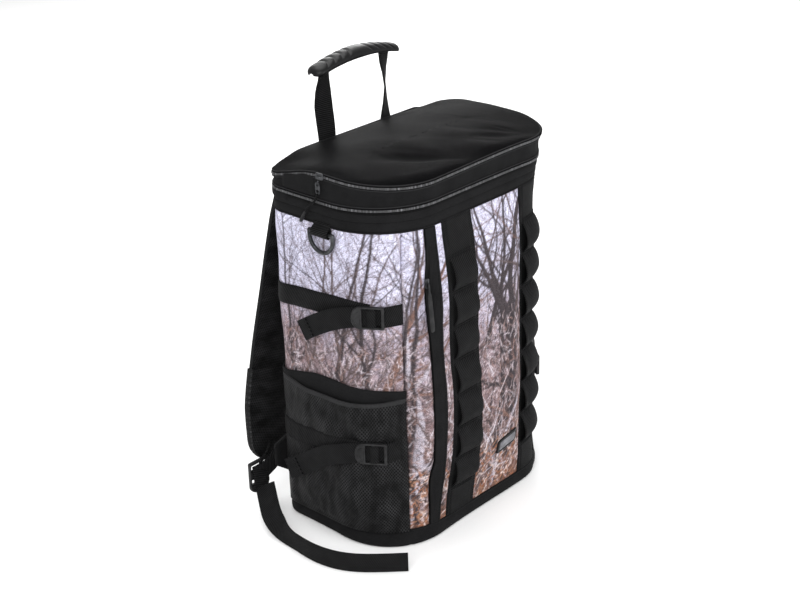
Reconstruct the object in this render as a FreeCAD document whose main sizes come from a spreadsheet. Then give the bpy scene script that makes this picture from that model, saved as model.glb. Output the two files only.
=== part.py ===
import FreeCAD, Part
import math
import os
import Sketcher
from FreeCAD import Placement, Rotation, Vector

# Tackle backpack, millimetres.  Origin: centre of the bag's plan on the floor.
# +Z up, front of the bag towards -Y, back (harness) towards +Y, wearer's left towards -X.

doc = FreeCAD.newDocument("tackle_backpack")
sheet = doc.addObject("Spreadsheet::Sheet", "dims")

DIMENSIONS = [
    ("body_width", 324, "outside width of the bag"),
    ("body_depth", 187.4, "outside depth of the bag without pads"),
    ("front_radius", 83, "plan radius of the two front corners"),
    ("rear_radius", 28, "plan radius of the two rear corners"),
    ("wall", 3, "fabric and foam wall"),
    ("boot_height", 18.5, "moulded-look base band"),
    ("board", 4, "stiff board in the base"),
    ("collar_base", 398, "top of the printed panels"),
    ("collar_top", 421.6, "top of the sewn collar under the main zip"),
    ("main_zip", 425, "height of the main zip's centre line"),
    ("lid_zip", 451.5, "height of the lid pocket zip's centre line"),
    ("zip_half", 2.6, "height of one half of a zip"),
    ("zip_gap", 0.4, "half the gap between a zip's two halves"),
    ("zip_stand", 1, "how far a zip's coil stands out of the wall"),
    ("hinge_height", 453, "height of the fold that both lids turn on"),
    ("lid_crown", 460, "top of the lid"),
    ("lid_skin", 3, "padded lid panel"),
    ("lid_round", 6, "rounding of the lid's top edge"),
    ("back_half", 122, "half the width of the back panel, seam to seam"),
    ("seam_front", 81, "distance forward of the side-to-front seams"),
    ("clearance", 0.4, "gap between bodies that move"),
    ("webbing", 25, "narrow webbing width"),
    ("webbing_skin", 1.5, "webbing thickness"),
    ("ladder_base", 50, "backing webbing width of a ladder column"),
    ("ladder_loop", 38, "loop webbing width of a ladder column"),
    ("tack_pitch", 42.9, "spacing of the ladder's bar tacks"),
    ("tack_first", 55.5, "height of the lowest bar tack"),
    ("loop_rise", 8, "how far a ladder loop stands off its backing"),
    ("pocket_depth", 8, "inside depth of a side pocket"),
    ("pocket_top", 190, "top of the mesh of a side pocket"),
    ("lock_length", 44, "ladder-lock buckle, length"),
    ("lock_width", 31, "ladder-lock buckle, width"),
    ("lock_skin", 4.5, "ladder-lock buckle, thickness"),
    ("ring_wire", 2.5, "D-ring wire radius"),
    ("ring_half", 18, "half the width of a D-ring between wire centres"),
    ("ring_bar", 391, "height of a D-ring's straight bar"),
    ("handle_pivot", 450, "height where the handle's webbing starts to bend"),
    ("handle_plane", 101.5, "distance back of the handle"),
    ("handle_half", 50, "half the spacing of the handle's two legs"),
    ("grip_half", 71, "half the length of the moulded grip"),
    ("grip_crest", 549, "top of the grip"),
    ("grip_end", 524, "height of the grip's ends"),
    ("grip_width", 29, "grip, front to back"),
    ("strap_skin", 14, "shoulder strap padding thickness"),
    ("tail_skin", 2, "loose harness webbing thickness"),
    ("pull_radius", 1.25, "zip pull cord radius"),
]
for row, (alias, value, note) in enumerate(DIMENSIONS, start=1):
    sheet.set(f"A{row}", alias)
    sheet.set(f"B{row}", str(value))
    sheet.set(f"C{row}", note)
    sheet.setAlias(f"B{row}", alias)
doc.recompute()

subparts = []


def cell(alias):
    return float(sheet.get(alias))


def number(expression):
    return float(sheet.evalExpression(str(expression)))


def keep(piece, label):
    """List a piece as a sub-part of the bag, under its own name."""
    piece.Label = label
    subparts.append(piece)
    return piece


def origin_plane(body, role):
    return next(p for p in body.Origin.OriginFeatures if p.Role == role)


def flat_sketch(body, name, role="XY_Plane", height="0"):
    """A sketch on one of the body's own planes, raised by an expression."""
    sketch = body.newObject("Sketcher::SketchObject", name)
    sketch.AttachmentSupport = (origin_plane(body, role), [""])
    sketch.MapMode = "FlatFace"
    sketch.setExpression("AttachmentOffset.Base.z", height)
    return sketch


def pad(body, sketch, name, length, midplane=False):
    feature = body.newObject("PartDesign::Pad", name)
    feature.Profile = sketch
    feature.setExpression("Length", length)
    feature.Midplane = midplane
    return feature


def pocket(body, sketch, name, length, midplane=False, upward=False):
    feature = body.newObject("PartDesign::Pocket", name)
    feature.Profile = sketch
    feature.setExpression("Length", length)
    feature.Midplane = midplane
    feature.Reversed = upward
    return feature


def fillet(body, base, edges, radius, name):
    feature = body.newObject("PartDesign::Fillet", name)
    feature.Base = (base, edges)
    feature.setExpression("Radius", radius)
    return feature


# ---------------------------------------------------------------- plan outline


def add_outline(sketch, offset="0"):
    """The bag's plan outline, pushed outward by the expression `offset`, fully constrained."""
    half = number(f"dims.body_width / 2 + {offset}")
    deep = number(f"dims.body_depth / 2 + {offset}")
    front = number(f"dims.front_radius + {offset}")
    rear = number(f"dims.rear_radius + {offset}")
    centres = [
        (-half + front, -deep + front, front, 180),
        (half - front, -deep + front, front, 270),
        (half - rear, deep - rear, rear, 0),
        (-half + rear, deep - rear, rear, 90),
    ]
    arcs = []
    for x, y, radius, start in centres:
        circle = Part.Circle(Vector(x, y, 0), Vector(0, 0, 1), radius)
        arc = Part.ArcOfCircle(circle, math.radians(start), math.radians(start + 90))
        arcs.append(sketch.addGeometry(arc, False))
    lines = []
    for here, there in zip(arcs, arcs[1:] + arcs[:1]):
        begin = sketch.getPoint(here, 2)
        end = sketch.getPoint(there, 1)
        line = sketch.addGeometry(Part.LineSegment(begin, end), False)
        sketch.addConstraint(Sketcher.Constraint("Tangent", here, 2, line, 1))
        sketch.addConstraint(Sketcher.Constraint("Tangent", line, 2, there, 1))
        lines.append(line)
    sketch.addConstraint(Sketcher.Constraint("Horizontal", lines[0]))
    sketch.addConstraint(Sketcher.Constraint("Equal", arcs[0], arcs[1]))
    sketch.addConstraint(Sketcher.Constraint("Equal", arcs[2], arcs[3]))
    bound = [
        (("Radius", arcs[0], front), f"dims.front_radius + {offset}"),
        (("Radius", arcs[2], rear), f"dims.rear_radius + {offset}"),
        (("Distance", -1, 1, lines[0], deep), f"dims.body_depth / 2 + {offset}"),
        (("Distance", -1, 1, lines[1], half), f"dims.body_width / 2 + {offset}"),
        (("Distance", -1, 1, lines[2], deep), f"dims.body_depth / 2 + {offset}"),
        (("Distance", -1, 1, lines[3], half), f"dims.body_width / 2 + {offset}"),
    ]
    for constraint, expression in bound:
        index = sketch.addConstraint(Sketcher.Constraint(*constraint))
        sketch.setExpression(f"Constraints[{index}]", expression)


def ring(name, outer, inner, low, high):
    """A band that follows the plan outline between two offsets and two heights."""
    body = doc.addObject("PartDesign::Body", name)
    sketch = flat_sketch(body, name + "_plan", height=low)
    add_outline(sketch, outer)
    if inner is not None:
        add_outline(sketch, inner)
    body.Tip = pad(body, sketch, name + "_pad", f"({high}) - ({low})")
    return body


def box(name, x, y, z):
    """A block between pairs of expressions."""
    block = doc.addObject("Part::Box", name)
    for axis, size, (low, high) in zip("xyz", ("Length", "Width", "Height"), (x, y, z)):
        block.setExpression(size, f"({high}) - ({low})")
        block.setExpression(f"Placement.Base.{axis}", low)
    return block


def cylinder(name, radius, height, centre, direction):
    """A round bar of two expressions, centred on a point, along a direction."""
    bar = doc.addObject("Part::Cylinder", name)
    bar.setExpression("Radius", radius)
    bar.setExpression("Height", height)
    turn = Rotation(Vector(0, 0, 1), Vector(*direction))
    shift = turn.multVec(Vector(0, 0, number(height) / 2))
    bar.Placement = Placement(Vector(*centre) - shift, turn)
    return bar


def boolean(kind, name, base, tool):
    result = doc.addObject(f"Part::{kind}", name)
    result.Base = base
    result.Tool = tool
    return result


def fuse(name, pieces):
    result = doc.addObject("Part::MultiFuse", name)
    result.Shapes = pieces
    return result


def group(label, pieces):
    """Alike separate solids that share one sub-part."""
    compound = doc.addObject("Part::Compound", label + "_group")
    compound.Links = pieces
    return keep(compound, label)


def plane_limits(side, low="-200", high="200"):
    """Plan limits in x of one side of the bag, as expressions."""
    if side < 0:
        return (f"-({high})", f"-({low})")
    return (low, high)


SIDES = (("left", -1), ("right", 1))
BELOW = "dims.boot_height"
WALL = "-dims.wall"
SHELL = (BELOW, "dims.collar_base")
SIDE_X = ("dims.back_half", "200")
SIDE_Y = ("-dims.seam_front", "100")
TALL = ("-10", "700")

# ---------------------------------------------------------------- base and panels


def make_base():
    """Tray-shaped bottom band and the stiff board that lies in it."""
    body = doc.addObject("PartDesign::Body", "base_boot")
    sketch = flat_sketch(body, "boot_plan")
    add_outline(sketch)
    pad(body, sketch, "boot_pad", "dims.boot_height")
    hollow = flat_sketch(body, "boot_hollow", height="dims.wall")
    add_outline(hollow, WALL)
    body.Tip = pocket(body, hollow, "boot_pocket", "dims.boot_height", upward=True)
    keep(body, "base_boot")
    board = ring("base_board", "-dims.wall - 0.5", None, "dims.wall", "dims.wall + dims.board")
    keep(board, "base_board")


def make_side_panels():
    for name, side in SIDES:
        shell = ring(f"{name}_shell", "0", WALL, *SHELL)
        limit = box(f"{name}_side_limit", plane_limits(side, *SIDE_X), SIDE_Y, TALL)
        keep(boolean("Common", f"{name}_side", shell, limit), f"{name}_side_panel")


def make_back_panel():
    shell = ring("back_shell", "0", WALL, BELOW, "dims.hinge_height - 0.6")
    across = ("-dims.back_half", "dims.back_half")
    limit = box("back_limit", across, ("60", "100"), TALL)
    keep(boolean("Common", "back", shell, limit), "back_panel")
    stiffener = box(
        "frame_sheet",
        ("-dims.back_half + 6", "dims.back_half - 6"),
        ("dims.body_depth / 2 - dims.wall - 2.2", "dims.body_depth / 2 - dims.wall - 0.2"),
        ("dims.boot_height + 4", "dims.collar_base - 8"),
    )
    keep(stiffener, "frame_sheet")


# Front panel: (height, how far the filled front pocket bulges there).
BULGE = [
    (18.5, 0.0),
    (55.5, 5.0),
    (98.4, 13.0),
    (141.3, 17.0),
    (184.2, 16.0),
    (227.1, 12.0),
    (312.9, 11.0),
    (355.8, 7.0),
    (398.0, 0.0),
]
ZIP_LEFT = -98.0
ZIP_RIGHT = -85.0
BULGE_LEFT = -77.0
BULGE_RIGHT = 52.0
PANEL_TURN = 62.0
SEAM_ALLOWANCE = 0.02


def bulge_at(height):
    for (low, a), (high, b) in zip(BULGE, BULGE[1:]):
        if low <= height <= high:
            return a + (b - a) * (height - low) / (high - low)
    return 0.0


def outline_point(arc, offset, side=1):
    """Point of the front outline `arc` millimetres to one side of its middle, pushed outward."""
    straight = cell("body_width") / 2 - cell("front_radius")
    deep = cell("body_depth") / 2
    radius = cell("front_radius")
    if arc <= straight:
        return Vector(side * arc, -deep - offset, 0)
    turn = (arc - straight) / radius
    reach = radius + offset
    return Vector(
        side * (straight + reach * math.sin(turn)),
        -deep + radius - reach * math.cos(turn),
        0,
    )


def strip_wire(start, end, inner, outer, height, steps=1):
    """Closed plan section of a strip that follows the front outline between two arc lengths."""
    lengths = [start + (end - start) * i / steps for i in range(steps + 1)]
    outside = [outline_point(abs(s), outer, 1 if s >= 0 else -1) for s in lengths]
    inside = [outline_point(abs(s), inner, 1 if s >= 0 else -1) for s in reversed(lengths)]
    points = [p + Vector(0, 0, height) for p in outside + inside]
    return Part.makePolygon(points + points[:1])


def loft_feature(name, wires):
    """A closed ruled solid through sections of equal corner count."""
    feature = doc.addObject("Part::Feature", name)
    feature.Shape = Part.makeLoft(wires, True, True)
    return feature


def front_section(height):
    """Plan section of the front panel from the zip to the right seam."""
    deep = cell("body_depth") / 2
    thick = cell("wall")
    out = bulge_at(height)
    straight = cell("body_width") / 2 - cell("front_radius")
    face = [
        Vector(ZIP_RIGHT, -deep, height),
        Vector(BULGE_LEFT, -deep - out, height),
        Vector(BULGE_RIGHT, -deep - out, height),
        Vector(PANEL_TURN, -deep, height),
        Vector(straight, -deep, height),
    ]
    back = [p + Vector(0, thick, 0) for p in face]
    radius = cell("front_radius")
    seam = math.acos((radius - deep + cell("seam_front")) / radius) - SEAM_ALLOWANCE
    for step in range(1, 7):
        arc = straight + radius * seam * step / 6
        face.append(outline_point(arc, 0) + Vector(0, 0, height))
        back.append(outline_point(arc, -thick) + Vector(0, 0, height))
    points = face + back[::-1]
    return Part.makePolygon(points + points[:1])


def make_front():
    """Front panel with its bulge, the strip left of the zip, and the pocket's rear wall."""
    keep(loft_feature("front", [front_section(z) for z, _ in BULGE]), "front_panel")
    shell = ring("front_shell", "0", WALL, *SHELL)
    limit = box("front_strip_limit", ("-200", str(ZIP_LEFT)), ("-100", "-dims.seam_front"), TALL)
    keep(boolean("Common", "front_strip", shell, limit), "front_side_strip")
    divider = box(
        "front_divider",
        ("-115", "115"),
        ("-70.2", "-68.7"),
        ("dims.wall + dims.board", "dims.collar_base"),
    )
    keep(divider, "front_pocket_divider")


def make_front_zip():
    """Tape and coil of the front pocket zip, in the gap beside the front panel."""
    face = "-dims.body_depth / 2"
    tape = box(
        "front_tape",
        (str(ZIP_LEFT), str(ZIP_RIGHT)),
        (f"{face} + 1.4", f"{face} + 2.4"),
        SHELL,
    )
    coil = box(
        "front_coil",
        (str(ZIP_LEFT + 0.4), str(ZIP_LEFT + 5.4)),
        (f"{face} - 0.4", f"{face} + 1.4"),
        ("dims.boot_height + 4", "dims.collar_base - 4"),
    )
    group("front_zip", [tape, coil])
    flap = box(
        "front_flap",
        (str(ZIP_LEFT + 6.4), str(ZIP_RIGHT - 0.2)),
        (f"{face} - 1", f"{face} + 1.4"),
        SHELL,
    )
    keep(flap, "front_zip_flap")


def make_collar():
    """Sewn black collar above the panels, open at the back where the back panel rises."""
    shell = ring("collar_shell", "0", WALL, "dims.collar_base", "dims.collar_top")
    gap = box("collar_gap", ("-dims.back_half", "dims.back_half"), ("60", "100"), TALL)
    keep(boolean("Cut", "collar", shell, gap), "upper_collar")


# ---------------------------------------------------------------- ladder columns


def ladder_levels():
    """Heights and stand-off of the loop webbing: tacks pull it flat, loops rise between them."""
    first = cell("tack_first")
    pitch = cell("tack_pitch")
    rise = cell("loop_rise")
    levels = [(cell("boot_height"), 0.0)]
    for number_of_loop in range(7):
        low = first + pitch * number_of_loop
        levels += [(low - 4, 0.0), (low + 4, 0.0), (low + 13, rise), (low + pitch - 13, rise)]
    top = first + pitch * 7
    levels += [(top - 4, 0.0), (top + 4, 0.0), (cell("collar_base"), 0.0)]
    return levels


def make_ladder(name, centre, follow_bulge, steps):
    """One vertical column of webbing loops on a wider backing strip."""
    half_base = cell("ladder_base") / 2
    half_loop = cell("ladder_loop") / 2
    skin = cell("webbing_skin")
    heights = sorted({z for z, _ in BULGE} | {z for z, _ in ladder_levels()})
    levels = dict(ladder_levels())
    known = sorted(levels)

    def rise_at(height):
        below = max(z for z in known if z <= height)
        above = min(z for z in known if z >= height)
        if above == below:
            return levels[below]
        share = (height - below) / (above - below)
        return levels[below] + (levels[above] - levels[below]) * share

    base_wires = []
    loop_wires = []
    for z in heights:
        out = bulge_at(z) if follow_bulge else 0.0
        low = out + 0.2
        rise = low + skin + 0.2 + rise_at(z)
        base_wires.append(
            strip_wire(centre - half_base, centre + half_base, low, low + skin, z, steps)
        )
        loop_wires.append(
            strip_wire(centre - half_loop, centre + half_loop, rise, rise + skin, z, steps)
        )
    keep(loft_feature(f"{name}_strip", loop_wires), f"{name}_loops")
    return loft_feature(f"{name}_base", base_wires)


PATCH_ACROSS = (14.0, 50.0)
PATCH_UP = (68.0, 93.0)


def make_patch():
    """Blank rubber patch low on the front."""
    body = doc.addObject("PartDesign::Body", "patch")
    sketch = flat_sketch(body, "patch_plan", "XZ_Plane")
    left, right = PATCH_ACROSS
    low, high = PATCH_UP
    corners = [Vector(left, low, 0), Vector(right, low, 0), Vector(right, high, 0), Vector(left, high, 0)]
    for a, b in zip(corners, corners[1:] + corners[:1]):
        sketch.addGeometry(Part.LineSegment(a, b), False)
    body.Tip = pad(body, sketch, "patch_pad", "2")
    deep = cell("body_depth") / 2
    rise = bulge_at(high) - bulge_at(low)
    slope = math.degrees(math.atan2(rise, high - low))
    turn = Rotation(Vector(1, 0, 0), slope)
    middle = Vector((left + right) / 2, 0, (low + high) / 2)
    anchor = Vector(middle.x, -deep - bulge_at(middle.z) - 0.4, middle.z)
    body.Placement = Placement(anchor - turn.multVec(middle), turn)
    keep(body, "front_patch")


# ---------------------------------------------------------------- lid


def make_lid():
    """Lid base (gusset, floor), the two zips and the padded lid cover."""
    back_gap = ("-dims.back_half - dims.clearance", "dims.back_half + dims.clearance")
    main = "dims.main_zip"
    lid = "dims.lid_zip"
    bands = [
        ("main_zip_lower", "dims.collar_top", f"{main} - dims.zip_gap", "dims.zip_stand"),
        ("main_zip_upper", f"{main} + dims.zip_gap", f"{main} + dims.zip_half", "dims.zip_stand"),
        ("lid_gusset", f"{main} + dims.zip_half", f"{lid} - dims.zip_half", "0"),
        ("lid_zip_lower", f"{lid} - dims.zip_half", f"{lid} - dims.zip_gap", "dims.zip_stand"),
        ("lid_zip_upper", f"{lid} + dims.zip_gap", f"{lid} + dims.zip_half", "dims.zip_stand"),
    ]
    for label, low, high, outer in bands:
        shell = ring(label + "_shell", outer, WALL, low, high)
        cut = box(label + "_gap", back_gap, ("60", "100"), TALL)
        keep(boolean("Cut", label + "_band", shell, cut), label)
    floor = ring(
        "lid_floor",
        "-dims.wall - 0.2",
        None,
        f"{main} + dims.zip_half",
        f"{main} + dims.zip_half + 1.5",
    )
    keep(floor, "lid_pocket_floor")
    body = doc.addObject("PartDesign::Body", "lid_cover")
    plan = flat_sketch(body, "cover_plan", height=f"{lid} + dims.zip_half")
    add_outline(plan)
    crown = pad(body, plan, "cover_pad", f"dims.lid_crown - {lid} - dims.zip_half")
    doc.recompute()
    top = cell("lid_crown")
    edges = [
        f"Edge{i}"
        for i, edge in enumerate(crown.Shape.Edges, start=1)
        if abs(edge.BoundBox.ZMin - top) < 0.01 and abs(edge.BoundBox.ZMax - top) < 0.01
    ]
    fillet(body, crown, edges, "dims.lid_round - 0.2", "cover_round")
    hollow = flat_sketch(body, "cover_hollow", height="dims.lid_crown - dims.lid_skin")
    add_outline(hollow, WALL)
    body.Tip = pocket(body, hollow, "cover_pocket", "dims.lid_crown")
    keep(body, "lid_cover")


# ---------------------------------------------------------------- side pockets and straps


def make_side_pocket(name, side):
    """Mesh pocket, its top binding, and the black fabric behind its mouth."""
    low = "dims.boot_height"
    high = "dims.pocket_top"
    outer = "dims.pocket_depth + 1"
    block = ring(f"{name}_pocket_block", outer, "0.2", low, high)
    reach = box(f"{name}_pocket_reach", plane_limits(side, *SIDE_X), ("-dims.seam_front", "80"), TALL)
    solid = boolean("Common", f"{name}_pocket_solid", block, reach)
    space = ring(f"{name}_pocket_space", "dims.pocket_depth", "0.1", f"{low} + 2", f"{high} + 5")
    inner = box(
        f"{name}_pocket_inner",
        plane_limits(side, "dims.back_half + 6", "200"),
        ("-dims.seam_front + 6", "74"),
        TALL,
    )
    hollow = boolean("Common", f"{name}_pocket_hollow", space, inner)
    keep(boolean("Cut", f"{name}_pocket", solid, hollow), f"{name}_pocket_mesh")
    band = ring(f"{name}_hem_band", "dims.pocket_depth + 1.6", "dims.pocket_depth - 0.2", high, f"{high} + 5")
    hem_reach = box(f"{name}_hem_reach", plane_limits(side, *SIDE_X), ("-dims.seam_front", "80"), TALL)
    hem = boolean("Common", f"{name}_hem", band, hem_reach)
    liner = ring(f"{name}_liner_band", "1.2", "0.2", f"{high} - 60", f"{high} + 15")
    liner_reach = box(
        f"{name}_liner_reach",
        plane_limits(side, "dims.back_half + 8", "200"),
        ("-dims.seam_front + 8", "72"),
        TALL,
    )
    return hem, boolean("Common", f"{name}_liner", liner, liner_reach)


LOCK_ANGLE = 33.0
# Buckles: (level, height, stand-off of the strap from the plan outline).
LOCK_LEVELS = (("upper", 298.0, 0.3), ("lower", 129.5, 9.8))
STRAP_LEVELS = {"upper": 298.5, "lower": 128.0}
TAIL_ENDS = {"upper": (25.0, 264.0, 7.5), "lower": (57.0, 75.0, 14.5)}


def corner_frame(side, angle, offset):
    """Point, outward normal and forward tangent on a front corner's arc."""
    radius = cell("front_radius")
    cx = side * (cell("body_width") / 2 - radius)
    cy = -cell("body_depth") / 2 + radius
    turn = math.radians(angle)
    outward = Vector(side * math.cos(turn), -math.sin(turn), 0)
    forward = Vector(-side * math.sin(turn), -math.cos(turn), 0)
    return Vector(cx, cy, 0) + outward * (radius + offset), outward, forward


def frame_rotation(forward, outward):
    """Rotation that lays local X along `forward` and local Z along `outward`."""
    third = outward.cross(forward)
    return Rotation(forward, third, outward, "XYZ")


def lock_body(name):
    """Ladder-lock buckle: three bars, two slots and a rounded thumb tab, in its own frame."""
    body = doc.addObject("PartDesign::Body", name)
    sketch = flat_sketch(body, name + "_plan")
    half_l = number("dims.lock_length / 2")
    half_w = number("dims.lock_width / 2")
    tab = -half_l + 11
    a = Vector(tab, half_w, 0)
    b = Vector(half_l, half_w, 0)
    c = Vector(half_l, -half_w, 0)
    d = Vector(tab, -half_w, 0)
    for begin, end in ((a, b), (b, c), (c, d)):
        sketch.addGeometry(Part.LineSegment(begin, end), False)
    arc = Part.Arc(d, Vector(-half_l, 0, 0), a)
    sketch.addGeometry(arc, False)
    plate = pad(body, sketch, name + "_plate", "dims.lock_skin")
    slots = flat_sketch(body, name + "_slots", height="dims.lock_skin")
    for low, high in ((half_l - 9.5, half_l - 4.5), (half_l - 25, half_l - 20)):
        corners = [
            Vector(low, half_w - 2.7, 0),
            Vector(high, half_w - 2.7, 0),
            Vector(high, -half_w + 2.7, 0),
            Vector(low, -half_w + 2.7, 0),
        ]
        for begin, end in zip(corners, corners[1:] + corners[:1]):
            slots.addGeometry(Part.LineSegment(begin, end), False)
    body.Tip = pocket(body, slots, name + "_slot_cut", "dims.lock_skin")
    doc.recompute()
    if body.Shape.Volume > plate.Shape.Volume - 100:
        raise RuntimeError("the ladder-lock's slots cut nothing")
    return body


def make_compression(name, side):
    """Two compression straps on one side: sewn strap, buckle, front anchor and loose tail."""
    straps = []
    anchors = []
    for level, height, over in LOCK_LEVELS:
        centre = STRAP_LEVELS[level]
        low = f"{centre} - dims.webbing / 2"
        high = f"{centre} + dims.webbing / 2"
        band = ring(f"{name}_{level}_band", f"{over} + dims.webbing_skin", str(over), low, high)
        reach = box(f"{name}_{level}_reach", plane_limits(side, *SIDE_X), ("-34", "88"), TALL)
        straps.append(boolean("Common", f"{name}_{level}_strap", band, reach))
        front = ring(f"{name}_{level}_front", f"{over} + dims.webbing_skin", str(over), low, high)
        near = box(
            f"{name}_{level}_near",
            plane_limits(side, "90", "200"),
            ("-dims.seam_front", "-73"),
            TALL,
        )
        anchors.append(boolean("Common", f"{name}_{level}_sewn", front, near))
        lock = lock_body(f"{name}_{level}_lock")
        point, outward, forward = corner_frame(side, LOCK_ANGLE, over + 0.7)
        lock.Placement = Placement(point + Vector(0, 0, height), frame_rotation(forward, outward))
        keep(lock, f"{name}_{level}_ladder_lock")
        make_strap_tail(name, side, level, over, height)
    return straps, anchors


def make_strap_tail(name, side, level, over, height):
    """Loose end of a compression strap, doubled back from behind the buckle."""
    end_y, end_z, stand = TAIL_ENDS[level]
    half = cell("body_width") / 2
    skin = cell("webbing_skin")
    start, _, _ = corner_frame(side, 13, over + 6.2)
    start = start + Vector(0, 0, height - 1)
    end = Vector(side * (half + stand), end_y, end_z)
    along = end - start
    length = along.Length
    along.normalize()
    across = along.cross(Vector(side, 0, 0)).normalize()
    outward = across.cross(along)
    tail = doc.addObject("Part::Box", f"{name}_{level}_tail")
    tail.Length = length
    tail.setExpression("Width", "dims.webbing")
    tail.setExpression("Height", "dims.webbing_skin")
    turn = Rotation(along, outward.cross(along), outward, "XYZ")
    shift = turn.multVec(Vector(0, -cell("webbing") / 2, -skin / 2))
    tail.Placement = Placement(start + shift, turn)
    keep(tail, f"{name}_{level}_tail")


# ---------------------------------------------------------------- D-rings


def make_d_ring(name, side):
    """Sewn tab with a knuckle, and the wire ring that swings in it."""
    half = cell("body_width") / 2
    bar = cell("ring_bar")
    x = side * (half + 4.4)
    knuckle = cylinder(f"{name}_knuckle", "dims.ring_wire + 1.7", "26", (x, 0, bar), (0, 1, 0))
    neck = box(
        f"{name}_neck",
        plane_limits(side, "dims.body_width / 2 + 0.2", "dims.body_width / 2 + 4.4"),
        ("-13", "13"),
        ("dims.ring_bar", "dims.collar_base + 2"),
    )
    solid = fuse(f"{name}_tab_solid", [knuckle, neck])
    bore = cylinder(f"{name}_bore", "dims.ring_wire + 0.4", "30", (x, 0, bar), (0, 1, 0))
    tab = boolean("Cut", f"{name}_tab", solid, bore)
    reach = cell("ring_half")
    drop = 5.5
    pieces = [
        cylinder(f"{name}_bar", "dims.ring_wire", "2 * dims.ring_half", (x, 0, bar), (0, 1, 0))
    ]
    for y in (-reach, reach):
        arm = cylinder(f"{name}_arm", "dims.ring_wire", str(drop), (x, y, bar - drop / 2), (0, 0, 1))
        corner = doc.addObject("Part::Sphere", f"{name}_corner")
        corner.setExpression("Radius", "dims.ring_wire")
        corner.Placement = Placement(Vector(x, y, bar), Rotation())
        pieces += [arm, corner]
    bow = doc.addObject("Part::Torus", f"{name}_bow")
    bow.setExpression("Radius1", "dims.ring_half")
    bow.setExpression("Radius2", "dims.ring_wire")
    bow.Angle3 = 180
    turn = Rotation(Vector(0, 1, 0), Vector(0, 0, -1), Vector(-1, 0, 0), "XYZ")
    bow.Placement = Placement(Vector(x, 0, bar - drop), turn)
    keep(fuse(f"{name}_ring", pieces + [bow]), f"{name}_d_ring")
    return tab


# ---------------------------------------------------------------- zip sliders and pulls


def make_slider(name, centre, along, outward, length=12.0, width=8.5, skin=3.0):
    """Slider plate of a zip, centred on a point of the coil's outer face."""
    plate = doc.addObject("Part::Box", name)
    plate.Length = length
    plate.Width = width
    plate.Height = skin
    turn = Rotation(Vector(*along), Vector(*outward).cross(Vector(*along)), Vector(*outward), "XYZ")
    shift = turn.multVec(Vector(-length / 2, -width / 2, 0))
    plate.Placement = Placement(Vector(*centre) + shift, turn)
    keep(plate, name)


def make_puller(name, side, y, top, drop):
    """Small metal pull that hangs from a side slider."""
    face = f"dims.body_width / 2 + dims.zip_stand + {PULL_OFFSET}"
    pull = box(
        name,
        plane_limits(side, face, f"{face} + 1.6"),
        (str(y - 3.5), str(y + 3.5)),
        (str(top - drop), str(top)),
    )
    keep(pull, name)


PULL_OFFSET = 4.1


def rounded_path(points):
    """Straight runs joined by tangent arcs.  Returns the wire, its length and its arc radii."""
    edges = []
    radii = []
    cuts = [0.0]
    for before, here, after in zip(points, points[1:], points[2:]):
        run_in = here - before
        run_out = after - here
        turn = run_in.getAngle(run_out)
        cuts.append(0.45 * min(run_in.Length, run_out.Length))
        radii.append(cuts[-1] / math.tan(turn / 2))
    cuts.append(0.0)
    start = points[0]
    for i in range(1, len(points) - 1):
        to_here = (points[i] - points[i - 1]).normalize()
        from_here = (points[i + 1] - points[i]).normalize()
        begin = points[i] - to_here * cuts[i]
        end = points[i] + from_here * cuts[i]
        half_turn = to_here.getAngle(from_here) / 2
        inward = (from_here - to_here).normalize()
        sagitta = radii[i - 1] * (1 / math.cos(half_turn) - 1)
        middle = points[i] + inward * sagitta
        edges.append(Part.LineSegment(start, begin).toShape())
        edges.append(Part.Arc(begin, middle, end).toShape())
        start = end
    edges.append(Part.LineSegment(start, points[-1]).toShape())
    wire = Part.Wire(edges)
    return wire, wire.Length, radii


def make_cord(name, points, radius):
    """Round cord along a route."""
    route = [Vector(*p) for p in points]
    wire, length, radii = rounded_path(route)
    along = (route[1] - route[0]).normalize()
    section = Part.Wire(Part.Circle(route[0], along, radius).toShape())
    tube = doc.addObject("Part::Feature", name)
    tube.Shape = wire.makePipeShell([section], True, True)
    expected = math.pi * radius**2 * length
    report_route(name, length, radii, tube.Shape.Volume, expected)
    keep(tube, name)


def make_ribbon(name, points, width, skin):
    """Flat webbing standing on its edge along a route."""
    route = [Vector(*p) for p in points]
    wire, length, radii = rounded_path(route)
    along = (route[1] - route[0]).normalize()
    side = along.cross(Vector(0, 0, 1)).normalize()
    up = side.cross(along).normalize()
    corners = [
        route[0] + side * (a * skin / 2) + up * (b * width / 2)
        for a, b in ((1, 1), (-1, 1), (-1, -1), (1, -1))
    ]
    section = Part.makePolygon(corners + corners[:1])
    ribbon = doc.addObject("Part::Feature", name)
    ribbon.Shape = wire.makePipeShell([section], True, False)
    report_route(name, length, radii, ribbon.Shape.Volume, width * skin * length)
    keep(ribbon, name)


def report_route(name, length, radii, volume, expected):
    rounded = [round(r, 1) for r in radii]
    print(f"{name}: length {length:.1f}, radii {rounded}, volume {volume:.0f} of {expected:.0f}")


LEFT_TAIL = [
    (-188, 97, 41),
    (-198, 82, 30),
    (-210, 63, 19),
    (-219, 34, 13.2),
    (-224, 2, 12.6),
    (-225, -31, 12.6),
    (-217, -62, 12.6),
    (-198, -90, 12.6),
    (-168, -120, 12.6),
]
RIGHT_TAIL = [
    (187, 122, 40),
    (183, 131, 30.5),
    (169, 138, 21),
    (147, 142, 14.5),
    (119, 141, 12.6),
    (91, 137, 12.6),
    (63, 135, 12.6),
    (35, 137, 12.6),
    (7, 142, 12.6),
    (-21, 143, 12.6),
    (-49, 140, 12.6),
]
LID_PULL = [
    (-169.1, 0, 437),
    (-169.4, 2.6, 430),
    (-169.2, 8.5, 424.2),
    (-169.4, 15.2, 419.6),
    (-169.1, 19.5, 413),
]


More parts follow.
